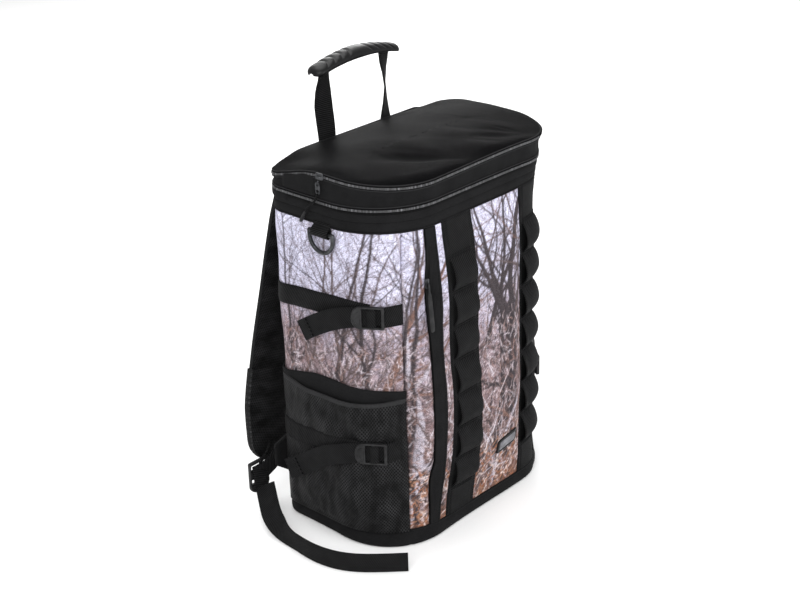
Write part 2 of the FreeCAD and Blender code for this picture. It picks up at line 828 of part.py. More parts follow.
def make_zip_hardware():
    half = cell("body_width") / 2
    stand = cell("zip_stand")
    lid = cell("lid_zip")
    main = cell("main_zip")
    face = -cell("body_depth") / 2 - 0.7
    make_slider("lid_slider", (-half - stand - 0.5, 0, lid), (0, 1, 0), (-1, 0, 0))
    make_puller("lid_puller", -1, 0.0, lid - 1, 13.0)
    make_cord("lid_pull_cord", LID_PULL, cell("pull_radius"))
    make_cord_end()
    make_slider("main_slider", (half + stand + 0.5, 30, main), (0, 1, 0), (1, 0, 0))
    make_puller("main_puller", 1, 30.0, main - 1, 22.0)
    make_slider("front_slider", (ZIP_LEFT + 2.9, face, 335), (0, 0, 1), (0, -1, 0), width=6.6)
    tab = box(
        "front_pull",
        (str(ZIP_LEFT - 0.6), str(ZIP_LEFT + 6.4)),
        (str(face - 6), str(face - 4)),
        ("277", "334"),
    )
    keep(tab, "front_puller")


def make_cord_end():
    """Tapered moulded end of the lid pull cord."""
    end = Vector(*LID_PULL[-1])
    along = (end - Vector(*LID_PULL[-2])).normalize()
    cone = doc.addObject("Part::Cone", "cord_end")
    cone.Radius1 = 1.6
    cone.Radius2 = 2.4
    cone.Height = 17
    cone.Placement = Placement(end, Rotation(Vector(0, 0, 1), along))
    keep(cone, "lid_pull_end")


# ---------------------------------------------------------------- carry handle


def make_handle():
    """Sewn webbing roots, two bending legs, and the moulded arched grip."""
    plane = cell("handle_plane")
    pivot = cell("handle_pivot")
    roots = []
    legs = []
    for name, side in SIDES:
        x = (
            f"{side} * dims.handle_half - dims.webbing / 2",
            f"{side} * dims.handle_half + dims.webbing / 2",
        )
        y = ("dims.handle_plane - 1", "dims.handle_plane + 1")
        sewn = ("dims.handle_pivot - 70", "dims.handle_pivot - 1.4")
        roots.append(box(f"{name}_root", x, y, sewn))
        leg = box(f"{name}_leg_strip", x, y, ("dims.handle_pivot", "dims.grip_end + 5"))
        centre = (side * cell("handle_half"), plane, pivot)
        bend = cylinder(f"{name}_leg_bend", "1", "dims.webbing", centre, (1, 0, 0))
        legs.append(fuse(f"{name}_leg", [leg, bend]))
    group("handle_roots", roots)
    group("handle_webbing", legs)
    keep(grip_body(), "handle_grip")


def grip_body():
    """Arched grip: a band between two arcs, hollow where the webbing enters."""
    body = doc.addObject("PartDesign::Body", "grip")
    sketch = flat_sketch(body, "grip_arch", "XZ_Plane")
    half = cell("grip_half")
    crest = cell("grip_crest")
    end = cell("grip_end")
    left_top = Vector(-half, end + 4, 0)
    right_top = Vector(half, end + 4, 0)
    left_low = Vector(-half + 4, end - 4, 0)
    right_low = Vector(half - 4, end - 4, 0)
    sketch.addGeometry(Part.Arc(left_top, Vector(0, crest, 0), right_top), False)
    sketch.addGeometry(Part.LineSegment(right_top, right_low), False)
    sketch.addGeometry(Part.Arc(right_low, Vector(0, crest - 14, 0), left_low), False)
    sketch.addGeometry(Part.LineSegment(left_low, left_top), False)
    arch = pad(body, sketch, "grip_pad", "dims.grip_width", midplane=True)
    doc.recompute()
    along = [
        f"Edge{i}"
        for i, edge in enumerate(arch.Shape.Edges, start=1)
        if edge.Length > 100 and edge.BoundBox.ZMax > crest - 1
    ]
    fillet(body, arch, along, "5", "grip_round")
    slots = flat_sketch(body, "grip_slots", height="dims.grip_end - 20")
    for side in (-1, 1):
        x = side * cell("handle_half")
        wide = cell("webbing") / 2 + 0.3
        deep = 1.3
        corners = [
            Vector(x - wide, -deep, 0),
            Vector(x + wide, -deep, 0),
            Vector(x + wide, deep, 0),
            Vector(x - wide, deep, 0),
        ]
        for begin, finish in zip(corners, corners[1:] + corners[:1]):
            slots.addGeometry(Part.LineSegment(begin, finish), False)
    body.Tip = pocket(body, slots, "grip_slot_cut", "25.2", upward=True)
    body.Placement = Placement(Vector(0, cell("handle_plane"), 0), Rotation())
    return body


# ---------------------------------------------------------------- harness


def thick_wire(centres, widths, facing):
    """Closed wire round a smooth centre line: two interpolated edges and two ends."""
    left = []
    right = []
    last = len(centres) - 1
    for i, (point, width) in enumerate(zip(centres, widths)):
        before = centres[max(i - 1, 0)]
        after = centres[min(i + 1, last)]
        along = (after - before).normalize()
        across = along.cross(facing)
        left.append(point + across * (width / 2))
        right.append(point - across * (width / 2))
    curves = []
    for points in (left, right):
        spline = Part.BSplineCurve()
        spline.interpolate(points)
        curves.append(spline.toShape())
    ends = [
        Part.LineSegment(left[-1], right[-1]).toShape(),
        Part.LineSegment(right[0], left[0]).toShape(),
    ]
    return Part.Wire([curves[0], ends[0], curves[1], ends[1]])


# Centre line and width of the strap seen from behind: (x, z, width).
STRAP_FRONT_VIEW = [
    (74, 412, 56),
    (79, 385, 60),
    (88, 330, 62),
    (101, 262, 62),
    (115, 190, 62),
    (139, 120, 60),
    (160, 74, 44),
]
# Its arch seen from the side: (y, z).
STRAP_SIDE_VIEW = [
    (110, 414),
    (131, 398),
    (140, 362),
    (142, 262),
    (140, 190),
    (134, 120),
    (121, 72),
]


def make_shoulder_strap(name, side):
    """Padded strap: a band seen from behind, met with its arched profile seen from the side."""
    skin = cell("strap_skin")
    across = [Vector(side * x, 0, z) for x, z, _ in STRAP_FRONT_VIEW]
    widths = [w for _, _, w in STRAP_FRONT_VIEW]
    band = Part.Face(thick_wire(across, widths, Vector(0, 1, 0))).extrude(Vector(0, 300, 0))
    profile = [Vector(0, y, z) for y, z in STRAP_SIDE_VIEW]
    arch = Part.Face(thick_wire(profile, [skin] * len(profile), Vector(1, 0, 0)))
    sheet_solid = arch.extrude(Vector(side * 300, 0, 0))
    strap = doc.addObject("Part::Feature", f"{name}_strap")
    strap.Shape = band.common(sheet_solid)
    keep(strap, f"{name}_shoulder_strap")


def make_anchor_wing(name, side):
    """Sewn wing at the bag's lower rear edge, and the webbing that runs to the adjuster."""
    half = cell("body_width") / 2
    root = Vector(side * (half - 22), 94.2, 0)
    tip = Vector(side * (half + 1), 101, 0)
    skin = Vector(0, 3, 0)
    face = [
        root + Vector(0, 0, 38),
        tip + Vector(0, 0, 58),
        tip + Vector(0, 0, 84),
        root + Vector(0, 0, 100),
    ]
    wing = doc.addObject("Part::Feature", f"{name}_wing")
    wing.Shape = Part.Face(Part.makePolygon(face + face[:1])).extrude(skin)
    lock = Vector(side * 187, 108, 52)
    begin = tip + Vector(side * 0.3, 1.5, 71)
    end = lock + Vector(-side * 17, -0.5, 0)
    wires = []
    for point, reach in ((begin, 12.5), (end, 12.5)):
        corners = [
            point + Vector(0, -0.75, -reach),
            point + Vector(0, 0.75, -reach),
            point + Vector(0, 0.75, reach),
            point + Vector(0, -0.75, reach),
        ]
        wires.append(Part.makePolygon(corners + corners[:1]))
    return wing, loft_feature(f"{name}_lower_web", wires)


def make_strap_end(name, side):
    """Short webbing under the padded strap and the ladder-lock adjuster that hangs on it."""
    adjuster = lock_body(f"{name}_adjuster_lock")
    forward = Vector(0, 0, 1)
    outward = Vector(0, 1, 0)
    place = Vector(side * 187, 106, 50)
    adjuster.Placement = Placement(place, frame_rotation(forward, outward))
    keep(adjuster, f"{name}_adjuster")
    top = [
        Vector(side * 164, 113, 82),
        Vector(side * 187, 109, 74.5),
    ]
    wires = []
    for point in top:
        corners = [
            point + Vector(-12.5, -0.75, 0),
            point + Vector(12.5, -0.75, 0),
            point + Vector(12.5, 0.75, 0),
            point + Vector(-12.5, 0.75, 0),
        ]
        wires.append(Part.makePolygon(corners + corners[:1]))
    return loft_feature(f"{name}_end_web", wires)


def make_harness():
    back = "dims.body_depth / 2"
    padding = box("back_padding", ("-108", "108"), (f"{back} + 0.2", f"{back} + 5.6"), ("40", "445"))
    keep(padding, "back_pad")
    wings = []
    webbing = []
    for name, side in SIDES:
        make_shoulder_strap(name, side)
        wing, lower_web = make_anchor_wing(name, side)
        wings.append(wing)
        webbing += [lower_web, make_strap_end(name, side)]
    group("anchor_wings", wings)
    group("harness_webbing", webbing)
    make_ribbon("left_strap_tail", LEFT_TAIL, cell("webbing"), cell("tail_skin"))
    make_ribbon("right_strap_tail", RIGHT_TAIL, cell("webbing"), cell("tail_skin"))


# ---------------------------------------------------------------- assembly


make_base()
make_side_panels()
make_back_panel()
make_front()
make_front_zip()
make_collar()
left_backing = make_ladder("left_ladder", -48.0, True, 1)
right_backing = make_ladder("right_ladder", 89.0, False, 6)
group("ladder_backings", [left_backing, right_backing])
make_patch()
make_lid()
shared = {"pocket_bindings": [], "pocket_liners": [], "compression_straps": []}
shared.update({"compression_anchors": [], "ring_tabs": []})
for side_name, side_sign in SIDES:
    binding, liner = make_side_pocket(side_name, side_sign)
    straps, anchors = make_compression(side_name, side_sign)
    shared["pocket_bindings"].append(binding)
    shared["pocket_liners"].append(liner)
    shared["compression_straps"] += straps
    shared["compression_anchors"] += anchors
    shared["ring_tabs"].append(make_d_ring(side_name, side_sign))
for shared_label, pieces in shared.items():
    group(shared_label, pieces)
make_zip_hardware()
make_handle()
make_harness()
doc.recompute()

for piece in doc.Objects:
    if "Invalid" in piece.State or "Error" in piece.State:
        raise RuntimeError(f"{piece.Label} failed: {piece.State}")
for piece in subparts:
    if piece.Shape.isNull() or not piece.Shape.isValid():
        raise RuntimeError(f"{piece.Label} has no valid shape")
    if piece.Shape.Volume <= 0:
        raise RuntimeError(f"{piece.Label} has no volume")

os.makedirs("parts", exist_ok=True)
for piece in subparts:
    piece.Shape.exportStep(f"parts/{piece.Label}.step")
print(len(subparts), "sub-parts")
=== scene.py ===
import math

import bmesh
import bpy
import numpy as np
from mathutils import Matrix, Vector


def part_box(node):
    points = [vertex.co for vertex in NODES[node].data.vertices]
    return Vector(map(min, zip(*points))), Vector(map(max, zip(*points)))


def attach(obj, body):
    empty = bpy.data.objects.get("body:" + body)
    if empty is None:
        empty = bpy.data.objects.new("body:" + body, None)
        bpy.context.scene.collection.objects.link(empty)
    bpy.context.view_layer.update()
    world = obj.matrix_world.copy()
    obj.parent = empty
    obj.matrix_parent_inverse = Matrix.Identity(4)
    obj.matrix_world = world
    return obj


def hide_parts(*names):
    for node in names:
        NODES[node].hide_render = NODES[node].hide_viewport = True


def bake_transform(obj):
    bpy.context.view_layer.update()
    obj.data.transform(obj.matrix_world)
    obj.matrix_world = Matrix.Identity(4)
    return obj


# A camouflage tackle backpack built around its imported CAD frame.  Lengths in this script are
# millimetres unless a name ends in _m; meshes are scaled to metres where they are made.
# "s" is the arc length round the bag's plan from the middle of the front, + to the right.

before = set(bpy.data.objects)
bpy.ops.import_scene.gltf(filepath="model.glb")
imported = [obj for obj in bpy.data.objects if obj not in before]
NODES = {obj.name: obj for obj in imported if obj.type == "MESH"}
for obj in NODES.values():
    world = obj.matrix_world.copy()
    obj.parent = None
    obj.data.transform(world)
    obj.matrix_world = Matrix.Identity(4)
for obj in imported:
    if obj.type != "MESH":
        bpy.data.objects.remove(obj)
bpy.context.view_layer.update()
MM = 0.001


def node_box(name):
    """Lowest and highest corner of a CAD node, in millimetres."""
    low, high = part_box(name)
    return np.array(low) / MM, np.array(high) / MM


BOOT_LOW, BOOT_HIGH = node_box("base_boot")
WIDTH = BOOT_HIGH[0] - BOOT_LOW[0]
DEPTH = BOOT_HIGH[1] - BOOT_LOW[1]
BOOT_TOP = BOOT_HIGH[2]
PANEL_TOP = node_box("left_side_panel")[1][2]
POCKET_TOP = node_box("left_pocket_mesh")[1][2]
FRONT_RADIUS = 83.0
REAR_RADIUS = 28.0
STRAIGHT = WIDTH / 2 - FRONT_RADIUS
ARC_END = STRAIGHT + FRONT_RADIUS * math.pi / 2
SIDE_END = ARC_END + DEPTH - FRONT_RADIUS - REAR_RADIUS
REAR_END = SIDE_END + REAR_RADIUS * math.pi / 2
HALF_LOOP = REAR_END + WIDTH / 2 - REAR_RADIUS
SEAM = STRAIGHT + FRONT_RADIUS * 0.563
BACK_SEAM = REAR_END + WIDTH / 2 - REAR_RADIUS - 122.0
WEBBING = 25.0
TUCK = 0.8  # how far the wall's pieces reach down inside the boot

# ---------------------------------------------------------------- plan and soft wall


def ease(value, low, high):
    """0 before low, 1 after high, smooth between."""
    share = np.clip((np.asarray(value, float) - low) / (high - low), 0, 1)
    return share * share * (3 - 2 * share)


def hump(value, centre, reach):
    """A bell of height 1 round a centre."""
    return np.exp(-(((np.asarray(value, float) - centre) / reach) ** 2))


def ripple(a, b, scale, seed, waves=7):
    """Smooth seeded unevenness, about -1 to 1, over two coordinates."""
    rng = np.random.default_rng(seed)
    total = np.zeros(np.broadcast(a, b).shape)
    for _ in range(waves):
        angle = rng.uniform(0, 2 * math.pi)
        reach = scale * rng.uniform(0.7, 1.6)
        phase = rng.uniform(0, 2 * math.pi)
        total = total + np.sin(
            2 * math.pi * (a * math.cos(angle) + b * math.sin(angle)) / reach + phase
        )
    return total / waves * 1.6


def plan(s):
    """Point and outward normal of the plan outline at arc length s."""
    s = np.asarray(s, float)
    side = np.where(s < 0, -1.0, 1.0)
    arc = np.abs(s)
    front = (arc - STRAIGHT) / FRONT_RADIUS
    rear = (arc - SIDE_END) / REAR_RADIUS
    places = [arc <= STRAIGHT, arc <= ARC_END, arc <= SIDE_END, arc <= REAR_END]
    half, deep = WIDTH / 2, DEPTH / 2
    x = np.select(
        places,
        [
            arc,
            STRAIGHT + FRONT_RADIUS * np.sin(front),
            half,
            half - REAR_RADIUS + REAR_RADIUS * np.cos(rear),
        ],
        half - REAR_RADIUS - (arc - REAR_END),
    )
    y = np.select(
        places,
        [
            -deep,
            -deep + FRONT_RADIUS - FRONT_RADIUS * np.cos(front),
            -deep + FRONT_RADIUS + arc - ARC_END,
            deep - REAR_RADIUS + REAR_RADIUS * np.sin(rear),
        ],
        deep,
    )
    nx = np.select(places, [0.0, np.sin(front), 1.0, np.cos(rear)], 0.0)
    ny = np.select(places, [-1.0, -np.cos(front), 0.0, np.sin(rear)], 1.0)
    return side * x, y, side * nx, ny


# The filled front pocket's bulge: height, and how far it stands out there.
BULGE_HEIGHTS = (18.5, 55.5, 98.4, 141.3, 184.2, 227.1, 312.9, 355.8, 398.0)
BULGE_DEPTHS = (0.0, 5.0, 13.0, 17.0, 16.0, 12.0, 11.0, 7.0, 0.0)


def bulge(z):
    """The bulge's profile up the front, with its corners rounded off."""
    spread = (-16, -8, 0, 8, 16)
    return sum(np.interp(z + shift, BULGE_HEIGHTS, BULGE_DEPTHS) for shift in spread) / 5


# The slack front right corner falls in: height, and how far.
PULL_HEIGHTS = (0, 70, 375, 400, 425, 445, 462)
PULL_DEPTHS = (9.0, 16.0, 15.5, 13.0, 5.5, 3.0, 1.5)


def droop(s):
    """How far the slack front right corner hangs down at the main zip."""
    return 5.0 * hump(s, 150, 60)


def soften(s, z):
    """How far the soft wall stands out from the plan outline."""
    at_zip = (0.9 - 0.72 * hump(z, 318, 46)) * ease(z, 68, 115)
    start = at_zip * ease(s, -124, -99) + (1 - at_zip) * ease(s, -98, -86)
    front = bulge(z) * start * (1 - ease(s, 40, 78))
    depth = sum(np.interp(z + k, PULL_HEIGHTS, PULL_DEPTHS) for k in (-12, -4, 4, 12)) / 4
    pulled = depth * hump(s, 152, 47)
    pulled = pulled + 3 * hump(s, -160, 50) * ease(z, 30, 120) * (1 - ease(z, 330, 400))
    quiet = ease(z, 12, 50) * (1 - ease(z, 370, 405)) * ease(HALF_LOOP - np.abs(s), 100, 150)
    uneven = 1.1 * ripple(s, z, 95, 3) + 0.45 * ripple(s, z, 34, 4)
    seam = 1.3 * hump(np.abs(s), SEAM, 1.5) * (1 - ease(z, 392, 398))
    return front - pulled + uneven * quiet - seam


def wall(s, z, out=0.0):
    """Points of the soft wall, pushed outward by `out`."""
    s, z, out = np.broadcast_arrays(np.asarray(s, float), np.asarray(z, float), out)
    x, y, nx, ny = plan(s)
    push = soften(s, z) + out
    return np.stack([x + nx * push, y + ny * push, z - droop(s) * ease(z, 398, 425)], axis=-1)


def outward(s):
    """The wall's level outward direction at s."""
    _, _, nx, ny = plan(s)
    return np.stack([nx, ny, np.zeros_like(nx)], axis=-1)


def side_name(side):
    """The left side is -1, the right side +1."""
    return "left" if side < 0 else "right"


# ---------------------------------------------------------------- mesh making


def distances(line):
    """Distance along a line at each of its points."""
    return np.r_[0, np.cumsum(np.linalg.norm(np.diff(line, axis=0), axis=1))]


def points_at(where, places, points):
    """Points between given ones, for places along them."""
    points = np.asarray(points, float)
    return np.stack([np.interp(where, places, points[:, k]) for k in range(3)], axis=-1)


def grid_faces(rows, columns, wrap=False):
    """Quads of a grid whose columns run first; wrap joins the last column to the first."""
    index = np.arange(rows * columns).reshape(rows, columns)
    if wrap:
        index = np.hstack([index, index[:, :1]])
    corners = (index[:-1, :-1], index[:-1, 1:], index[1:, 1:], index[1:, :-1])
    return np.stack(corners, axis=-1).reshape(-1, 4)


def end_caps(count, around):
    """The first and last ring of a tube of `count` rings, as faces."""
    return [list(range(around)), list(range((count - 1) * around, count * around))]


def mesh_object(name, points, faces, cloth=None, sharp=50):
    """An object from points in millimetres; cloth is each point's place on the flat material."""
    points = np.asarray(points, float).reshape(-1, 3)
    mesh = bpy.data.meshes.new(name)
    mesh.from_pydata((points * MM).tolist(), [], [list(map(int, f)) for f in faces])
    if cloth is not None:
        flat = np.zeros((len(points), 3), np.float32)
        flat[:, :2] = np.asarray(cloth, float).reshape(-1, 2) * MM
        mesh.attributes.new("cloth", "FLOAT_VECTOR", "POINT").data.foreach_set("vector", flat.ravel())
    mesh.shade_smooth()
    mesh.set_sharp_from_angle(angle=math.radians(sharp))
    piece = bpy.data.objects.new(name, mesh)
    bpy.context.scene.collection.objects.link(piece)
    return piece


def recalculate(piece):
    """Turn a closed piece's faces outward."""
    work = bmesh.new()
    work.from_mesh(piece.data)
    bmesh.ops.recalc_face_normals(work, faces=work.faces)
    work.to_mesh(piece.data)
    work.free()
    return piece


def thicken(piece, amount, offset=-1):
    """Give a sheet its thickness: inwards, or evenly (0) or outwards (1)."""
    solid = piece.modifiers.new("thickness", "SOLIDIFY")
    solid.thickness = amount * MM
    solid.offset = offset
    return piece


def sheet(name, points, first, second, thick, sharp=50):
    """A sheet through a grid of points; first and second are its places on the flat material."""
    cloth = np.stack(np.broadcast_arrays(first, second), axis=-1)
    piece = mesh_object(name, points, grid_faces(*points.shape[:2]), cloth, sharp)
    return thicken(piece, thick)


def join(name, pieces):
    """Join meshes that are one physical piece."""
    with bpy.context.temp_override(
        active_object=pieces[0], object=pieces[0], selected_editable_objects=pieces
    ):
        bpy.ops.object.join()
    pieces[0].name = name
    pieces[0].data.name = name
    return pieces[0]


def panel(name, s, z, out=0.0, thick=2.4):
    """A piece of the soft wall over ranges of s and z."""
    s, z = np.meshgrid(s, z)
    return sheet(name, wall(s, z, out(s, z) if callable(out) else out), s, z, thick)


def band(name, s, profile, closed=False):
    """A solid that follows the wall: profile(s) gives a closed loop of (out, z) pairs."""
    loops = []
    for place in s:
        loop = np.array(profile(place), float)
        loops.append(wall(np.full(len(loop), place), loop[:, 1], loop[:, 0]))
    loops = np.array(loops)
    count, around = loops.shape[:2]
    faces = grid_faces(count, around, wrap=True).tolist()
    if closed:
        last = (count - 1) * around
        for j in range(around):
            following = (j + 1) % around
            faces.append([last + j, last + following, following, j])
    else:
        faces += end_caps(count, around)
    edge = distances(loops[0])
    cloth = np.stack(np.broadcast_arrays(np.array(s)[:, None], edge[None, :]), axis=-1)
    return recalculate(mesh_object(name, loops, faces, cloth))


def unit(vectors):
    """Vectors brought to length 1."""
    vectors = np.asarray(vectors, float)
    return vectors / np.maximum(np.linalg.norm(vectors, axis=-1, keepdims=True), 1e-9)


def smooth_path(points, count):
    """Evenly spaced points of a smooth curve through the given ones, and the tangents there."""
    points = np.asarray(points, float)
    if len(points) == 2:
        points = np.array([points[0], points.mean(axis=0), points[1]])
    knots = distances(points)
    slopes = np.gradient(points, knots, axis=0)
    where = np.linspace(0, knots[-1], count)
    spot = np.clip(np.searchsorted(knots, where, side="right") - 1, 0, len(knots) - 2)
    span = (knots[spot + 1] - knots[spot])[:, None]
    t = ((where - knots[spot]) / span[:, 0])[:, None]
    here = (
        (1 + 2 * t) * (1 - t) ** 2 * points[spot]
        + t * (1 - t) ** 2 * span * slopes[spot]
        + t * t * (3 - 2 * t) * points[spot + 1]
        + t * t * (t - 1) * span * slopes[spot + 1]
    )
    return here, unit(np.gradient(here, axis=0))


def sweep(name, centres, outs, loop, scale=None):
    """Carry a closed loop of (across, out) pairs along a path.  scale varies (across, out)."""
    centres = np.asarray(centres, float)
    tangents = unit(np.gradient(centres, axis=0))
    across = unit(np.cross(tangents, outs))
    outs = np.cross(across, tangents)
    loop = np.asarray(loop, float)
    scale = np.ones((len(centres), 2)) if scale is None else np.asarray(scale, float)
    points = (
        centres[:, None, :]
        + across[:, None, :] * (loop[None, :, 0] * scale[:, :1])[..., None]
        + outs[:, None, :] * (loop[None, :, 1] * scale[:, 1:])[..., None]
    )
    count, around = points.shape[:2]
    faces = grid_faces(count, around, wrap=True).tolist() + end_caps(count, around)
    along = distances(centres)[:, None]
    cloth = np.stack(np.broadcast_arrays(along, loop[None, :, 0] * scale[:, :1]), axis=-1)
    return recalculate(mesh_object(name, points, faces, cloth))


def strap_loop(width, thick, divisions=5):
    """Section of a webbing: flat faces and slightly rounded edges."""
    half, skin = width / 2, thick / 2
    face = np.linspace(-half + skin * 0.8, half - skin * 0.8, divisions)
    top = [(x, skin) for x in face]
    low = [(x, -skin) for x in face[::-1]]
    edge = skin * 0.35
    return [(-half, edge)] + top + [(half, edge), (half, -edge)] + low + [(-half, -edge)]


def circle_loop(radius, sides=10):
    """Section of a round bar."""
    turns = np.linspace(0, 2 * math.pi, sides, endpoint=False)
    return np.stack([np.cos(turns), np.sin(turns)], axis=-1) * radius


def carried_frames(centres):
    """Directions across a path that turn as little as they can."""
    tangents = unit(np.gradient(centres, axis=0))
    start = np.array([0.0, 0.0, 1.0]) if abs(tangents[0][2]) < 0.8 else np.array([0.0, 1.0, 0.0])
    frames = [unit(start - tangents[0] * start.dot(tangents[0]))]
    for tangent in tangents[1:]:
        frames.append(unit(frames[-1] - tangent * frames[-1].dot(tangent)))
    return np.array(frames)


def tube(name, centres, radius, sides=10, scale=None):
    """A round bar along a line."""
    centres = np.asarray(centres, float)
    return sweep(name, centres, carried_frames(centres), circle_loop(radius, sides), scale)


def ribbon(name, points, outs, width=WEBBING, thick=1.6, count=40):
    """Webbing along a smooth path; outs are face directions at the given points."""
    centres, _ = smooth_path(points, count)
    facing = unit(points_at(np.linspace(0, 1, count), np.linspace(0, 1, len(outs)), outs))
    return sweep(name, centres, facing, strap_loop(width, thick))


def place_on(piece, body, slot, material, *replaced):
    """Give a piece its material, the body it moves with and the CAD nodes it stands for; slot is not used.
    """
    piece.data.materials.clear()
    piece.data.materials.append(material)
    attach(piece, body)
    if replaced:
        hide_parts(*replaced)
    return piece

# ---------------------------------------------------------------- materials


class Graph:
    """A material's node tree, with short calls to add and join nodes."""

    def __init__(self, name, **shader):
        """Start from the plain shader with the given inputs."""
        self.material = bpy.data.materials.new(name)
        self.material.use_nodes = True
        self.tree = self.material.node_tree
        self.shader = self.tree.nodes["Principled BSDF"]
        for socket, value in shader.items():
            self.feed(self.shader.inputs[socket.replace("_", " ")], value)

    def feed(self, socket, value):
        """Join a node to a socket, or set its plain value."""
        if isinstance(value, bpy.types.NodeSocket):
            self.tree.links.new(value, socket)
        else:
            socket.default_value = value

    def add(self, kind, inputs=None, **settings):
        """A new node's outputs; inputs are socket values, settings are the node's own."""
        node = self.tree.nodes.new("ShaderNode" + kind)
        for key, value in settings.items():
            setattr(node, key, value)
        for socket, value in (inputs or {}).items():
            self.feed(node.inputs[socket], value)
        return node.outputs

    def maths(self, operation, a, b):
        """One step of arithmetic."""
        return self.add("Math", {0: a, 1: b}, operation=operation)[0]

    def cloth(self, scale=(1, 1, 1), turn=0.0):
        """The place on the flat material, turned and scaled."""
        place = self.add("Attribute", attribute_name="cloth")["Vector"]
        return self.add("Mapping", {"Vector": place, "Scale": scale, "Rotation": (0, 0, turn)})[0]

    def solid(self):
        """The place in the solid piece."""
        return self.add("TexCoord")["Object"]

    def noise(self, vector, scale, detail=3.0, roughness=0.5):
        """Cloudy unevenness."""
        sockets = {"Vector": vector, "Scale": scale, "Detail": detail, "Roughness": roughness}
        return self.add("TexNoise", sockets)["Fac"]

    def wave(self, vector, pitch, direction="X", distortion=0.0):
        """Bands of a given pitch in metres."""
        sockets = {"Vector": vector, "Scale": 0.31416 / pitch, "Distortion": distortion, "Detail": 1.0}
        return self.add("TexWave", sockets, bands_direction=direction)["Fac"]

    def ramp(self, value, *stops):
        """A colour or grey from (position, colour) stops."""
        node = self.tree.nodes.new("ShaderNodeValToRGB")
        self.feed(node.inputs["Fac"], value)
        ramp = node.color_ramp
        for position, colour in stops[2:]:
            ramp.elements.new(position)
        for element, (position, colour) in zip(ramp.elements, sorted(stops)):
            element.position = position
            element.color = (*colour, 1) if isinstance(colour, tuple) else (colour,) * 3 + (1,)
        return node.outputs["Color"]

    def mix(self, share, a, b, blend="MIX"):
        """Two colours laid over each other."""
        return self.add("MixRGB", {"Fac": share, "Color1": a, "Color2": b}, blend_type=blend)[0]

    def bump(self, height, depth):
        """A bump of a given depth in millimetres."""
        return self.add("Bump", {"Height": height, "Strength": 1.0, "Distance": depth * MM})[0]

    def finish(self, colour, normal=None, roughness=None):
        """Feed the shader and hand over the material."""
        self.feed(self.shader.inputs["Base Color"], colour)
        if normal is not None:
            self.feed(self.shader.inputs["Normal"], normal)
        if roughness is not None:
            self.feed(self.shader.inputs["Roughness"], roughness)
        return self.material


def tone(red, green, blue):
    """Linear colour of a screen colour from 0 to 255."""
    values = np.array([red, green, blue]) / 255
    linear = np.where(values <= 0.04045, values / 12.92, ((values + 0.055) / 1.055) ** 2.4)
    return tuple(float(v) for v in linear)


def cloth_graph(name, roughness, sheen, gloss):
    """The start of a cloth material: a rough surface with a faint sheen."""
    settings = {"Roughness": roughness, "Sheen_Weight": sheen, "Sheen_Roughness": 0.5}
    return Graph(name, **settings, Specular_IOR_Level=gloss)


def woven_material(name, dark, light, pitch, depth, roughness=0.85, sheen=0.012, gloss=0.045):
    """Plain woven cloth: crossed yarns, slow unevenness and a dry, slightly dusty sheen."""
    graph = cloth_graph(name, roughness, sheen, gloss)
    place = graph.cloth()
    warp = graph.wave(place, pitch, "X", 0.8)
    weft = graph.wave(place, pitch, "Y", 0.8)
    yarns = graph.maths("MAXIMUM", warp, weft)
    slow = graph.noise(place, 38.0, 4.0, 0.6)
    dust = graph.noise(place, 900.0, 2.0)
    value = graph.maths("MULTIPLY", graph.maths("ADD", slow, dust), yarns)
    colour = graph.ramp(value, (0.25, dark), (0.925, light))
    height = graph.maths("ADD", yarns, graph.maths("MULTIPLY", dust, 0.6))
    return graph.finish(colour, graph.bump(height, depth))


def webbing_material(name, dark, light):
    """Webbing: cross ribs over fine lengthwise yarns, worn a little lighter in places."""
    graph = cloth_graph(name, 0.7, 0.01, 0.05)
    place = graph.cloth()
    ribs = graph.wave(graph.cloth((1, 1, 1), 0.5), 2.3 * MM, "X", 0.6)
    yarns = graph.wave(place, 1.3 * MM, "Y", 0.4)
    wear = graph.noise(place, 70.0, 4.0, 0.6)
    value = graph.maths("ADD", graph.maths("MULTIPLY", ribs, 0.7), graph.maths("MULTIPLY", wear, 0.5))
    colour = graph.ramp(value, (0.25, dark), (1.0, light))
    height = graph.maths("ADD", ribs, graph.maths("MULTIPLY", yarns, 0.5))
    return graph.finish(colour, graph.bump(height, 0.28))


def mesh_material(name, thread, hole_shade_colour, pitch, turn=math.pi / 4):
    """Knitted mesh: a diamond lattice of threads with painted highlights in slow patches, round holes
    painted near black for the dark backing and shade seen through them.
    """
    graph = Graph(name, Roughness=0.55, Specular_IOR_Level=0.1)
    place = graph.cloth((1.0, 0.72, 1.0), turn)
    lattice = {"Vector": place, "Scale": 1.0 / pitch, "Randomness": 0.0}
    distance = graph.add("TexVoronoi", lattice, feature="F1")["Distance"]
    slow = graph.noise(graph.cloth((1.0, 0.45, 1.0)), 70.0, 4.0, 0.6)
    opening = graph.ramp(distance, (0.30, 0.0), (0.46, 1.0))
    # Painted highlight: the threads go from a dim to a bright copy of their colour in slow patches, standing
    # in for light caught by the knit.
    shaded_thread, highlit_thread = (tuple(k * c for c in thread) for k in (0.4, 2.0))
    threads_with_painted_highlights = graph.ramp(slow, (0.38, shaded_thread), (0.64, highlit_thread))
    # The holes are painted opaque near black: the dark backing behind them, with painted shade on it.
    colour = graph.mix(opening, (*hole_shade_colour, 1), threads_with_painted_highlights)
    return graph.finish(colour, graph.bump(opening, 0.5))


def moulded_material(name, dark, light, roughness, grain=0.04):
    """Moulded plastic or rubber: fine grain and rubbed, paler wear."""
    graph = Graph(name, Specular_IOR_Level=0.2)
    place = graph.solid()
    fine = graph.noise(place, 2600.0, 2.0)
    wear = graph.noise(place, 85.0, 5.0, 0.65)
    colour = graph.ramp(wear, (0.35, dark), (0.75, light))
    rough = graph.ramp(wear, (0.3, roughness + 0.08), (0.8, roughness - 0.08))
    return graph.finish(colour, graph.bump(fine, grain), rough)


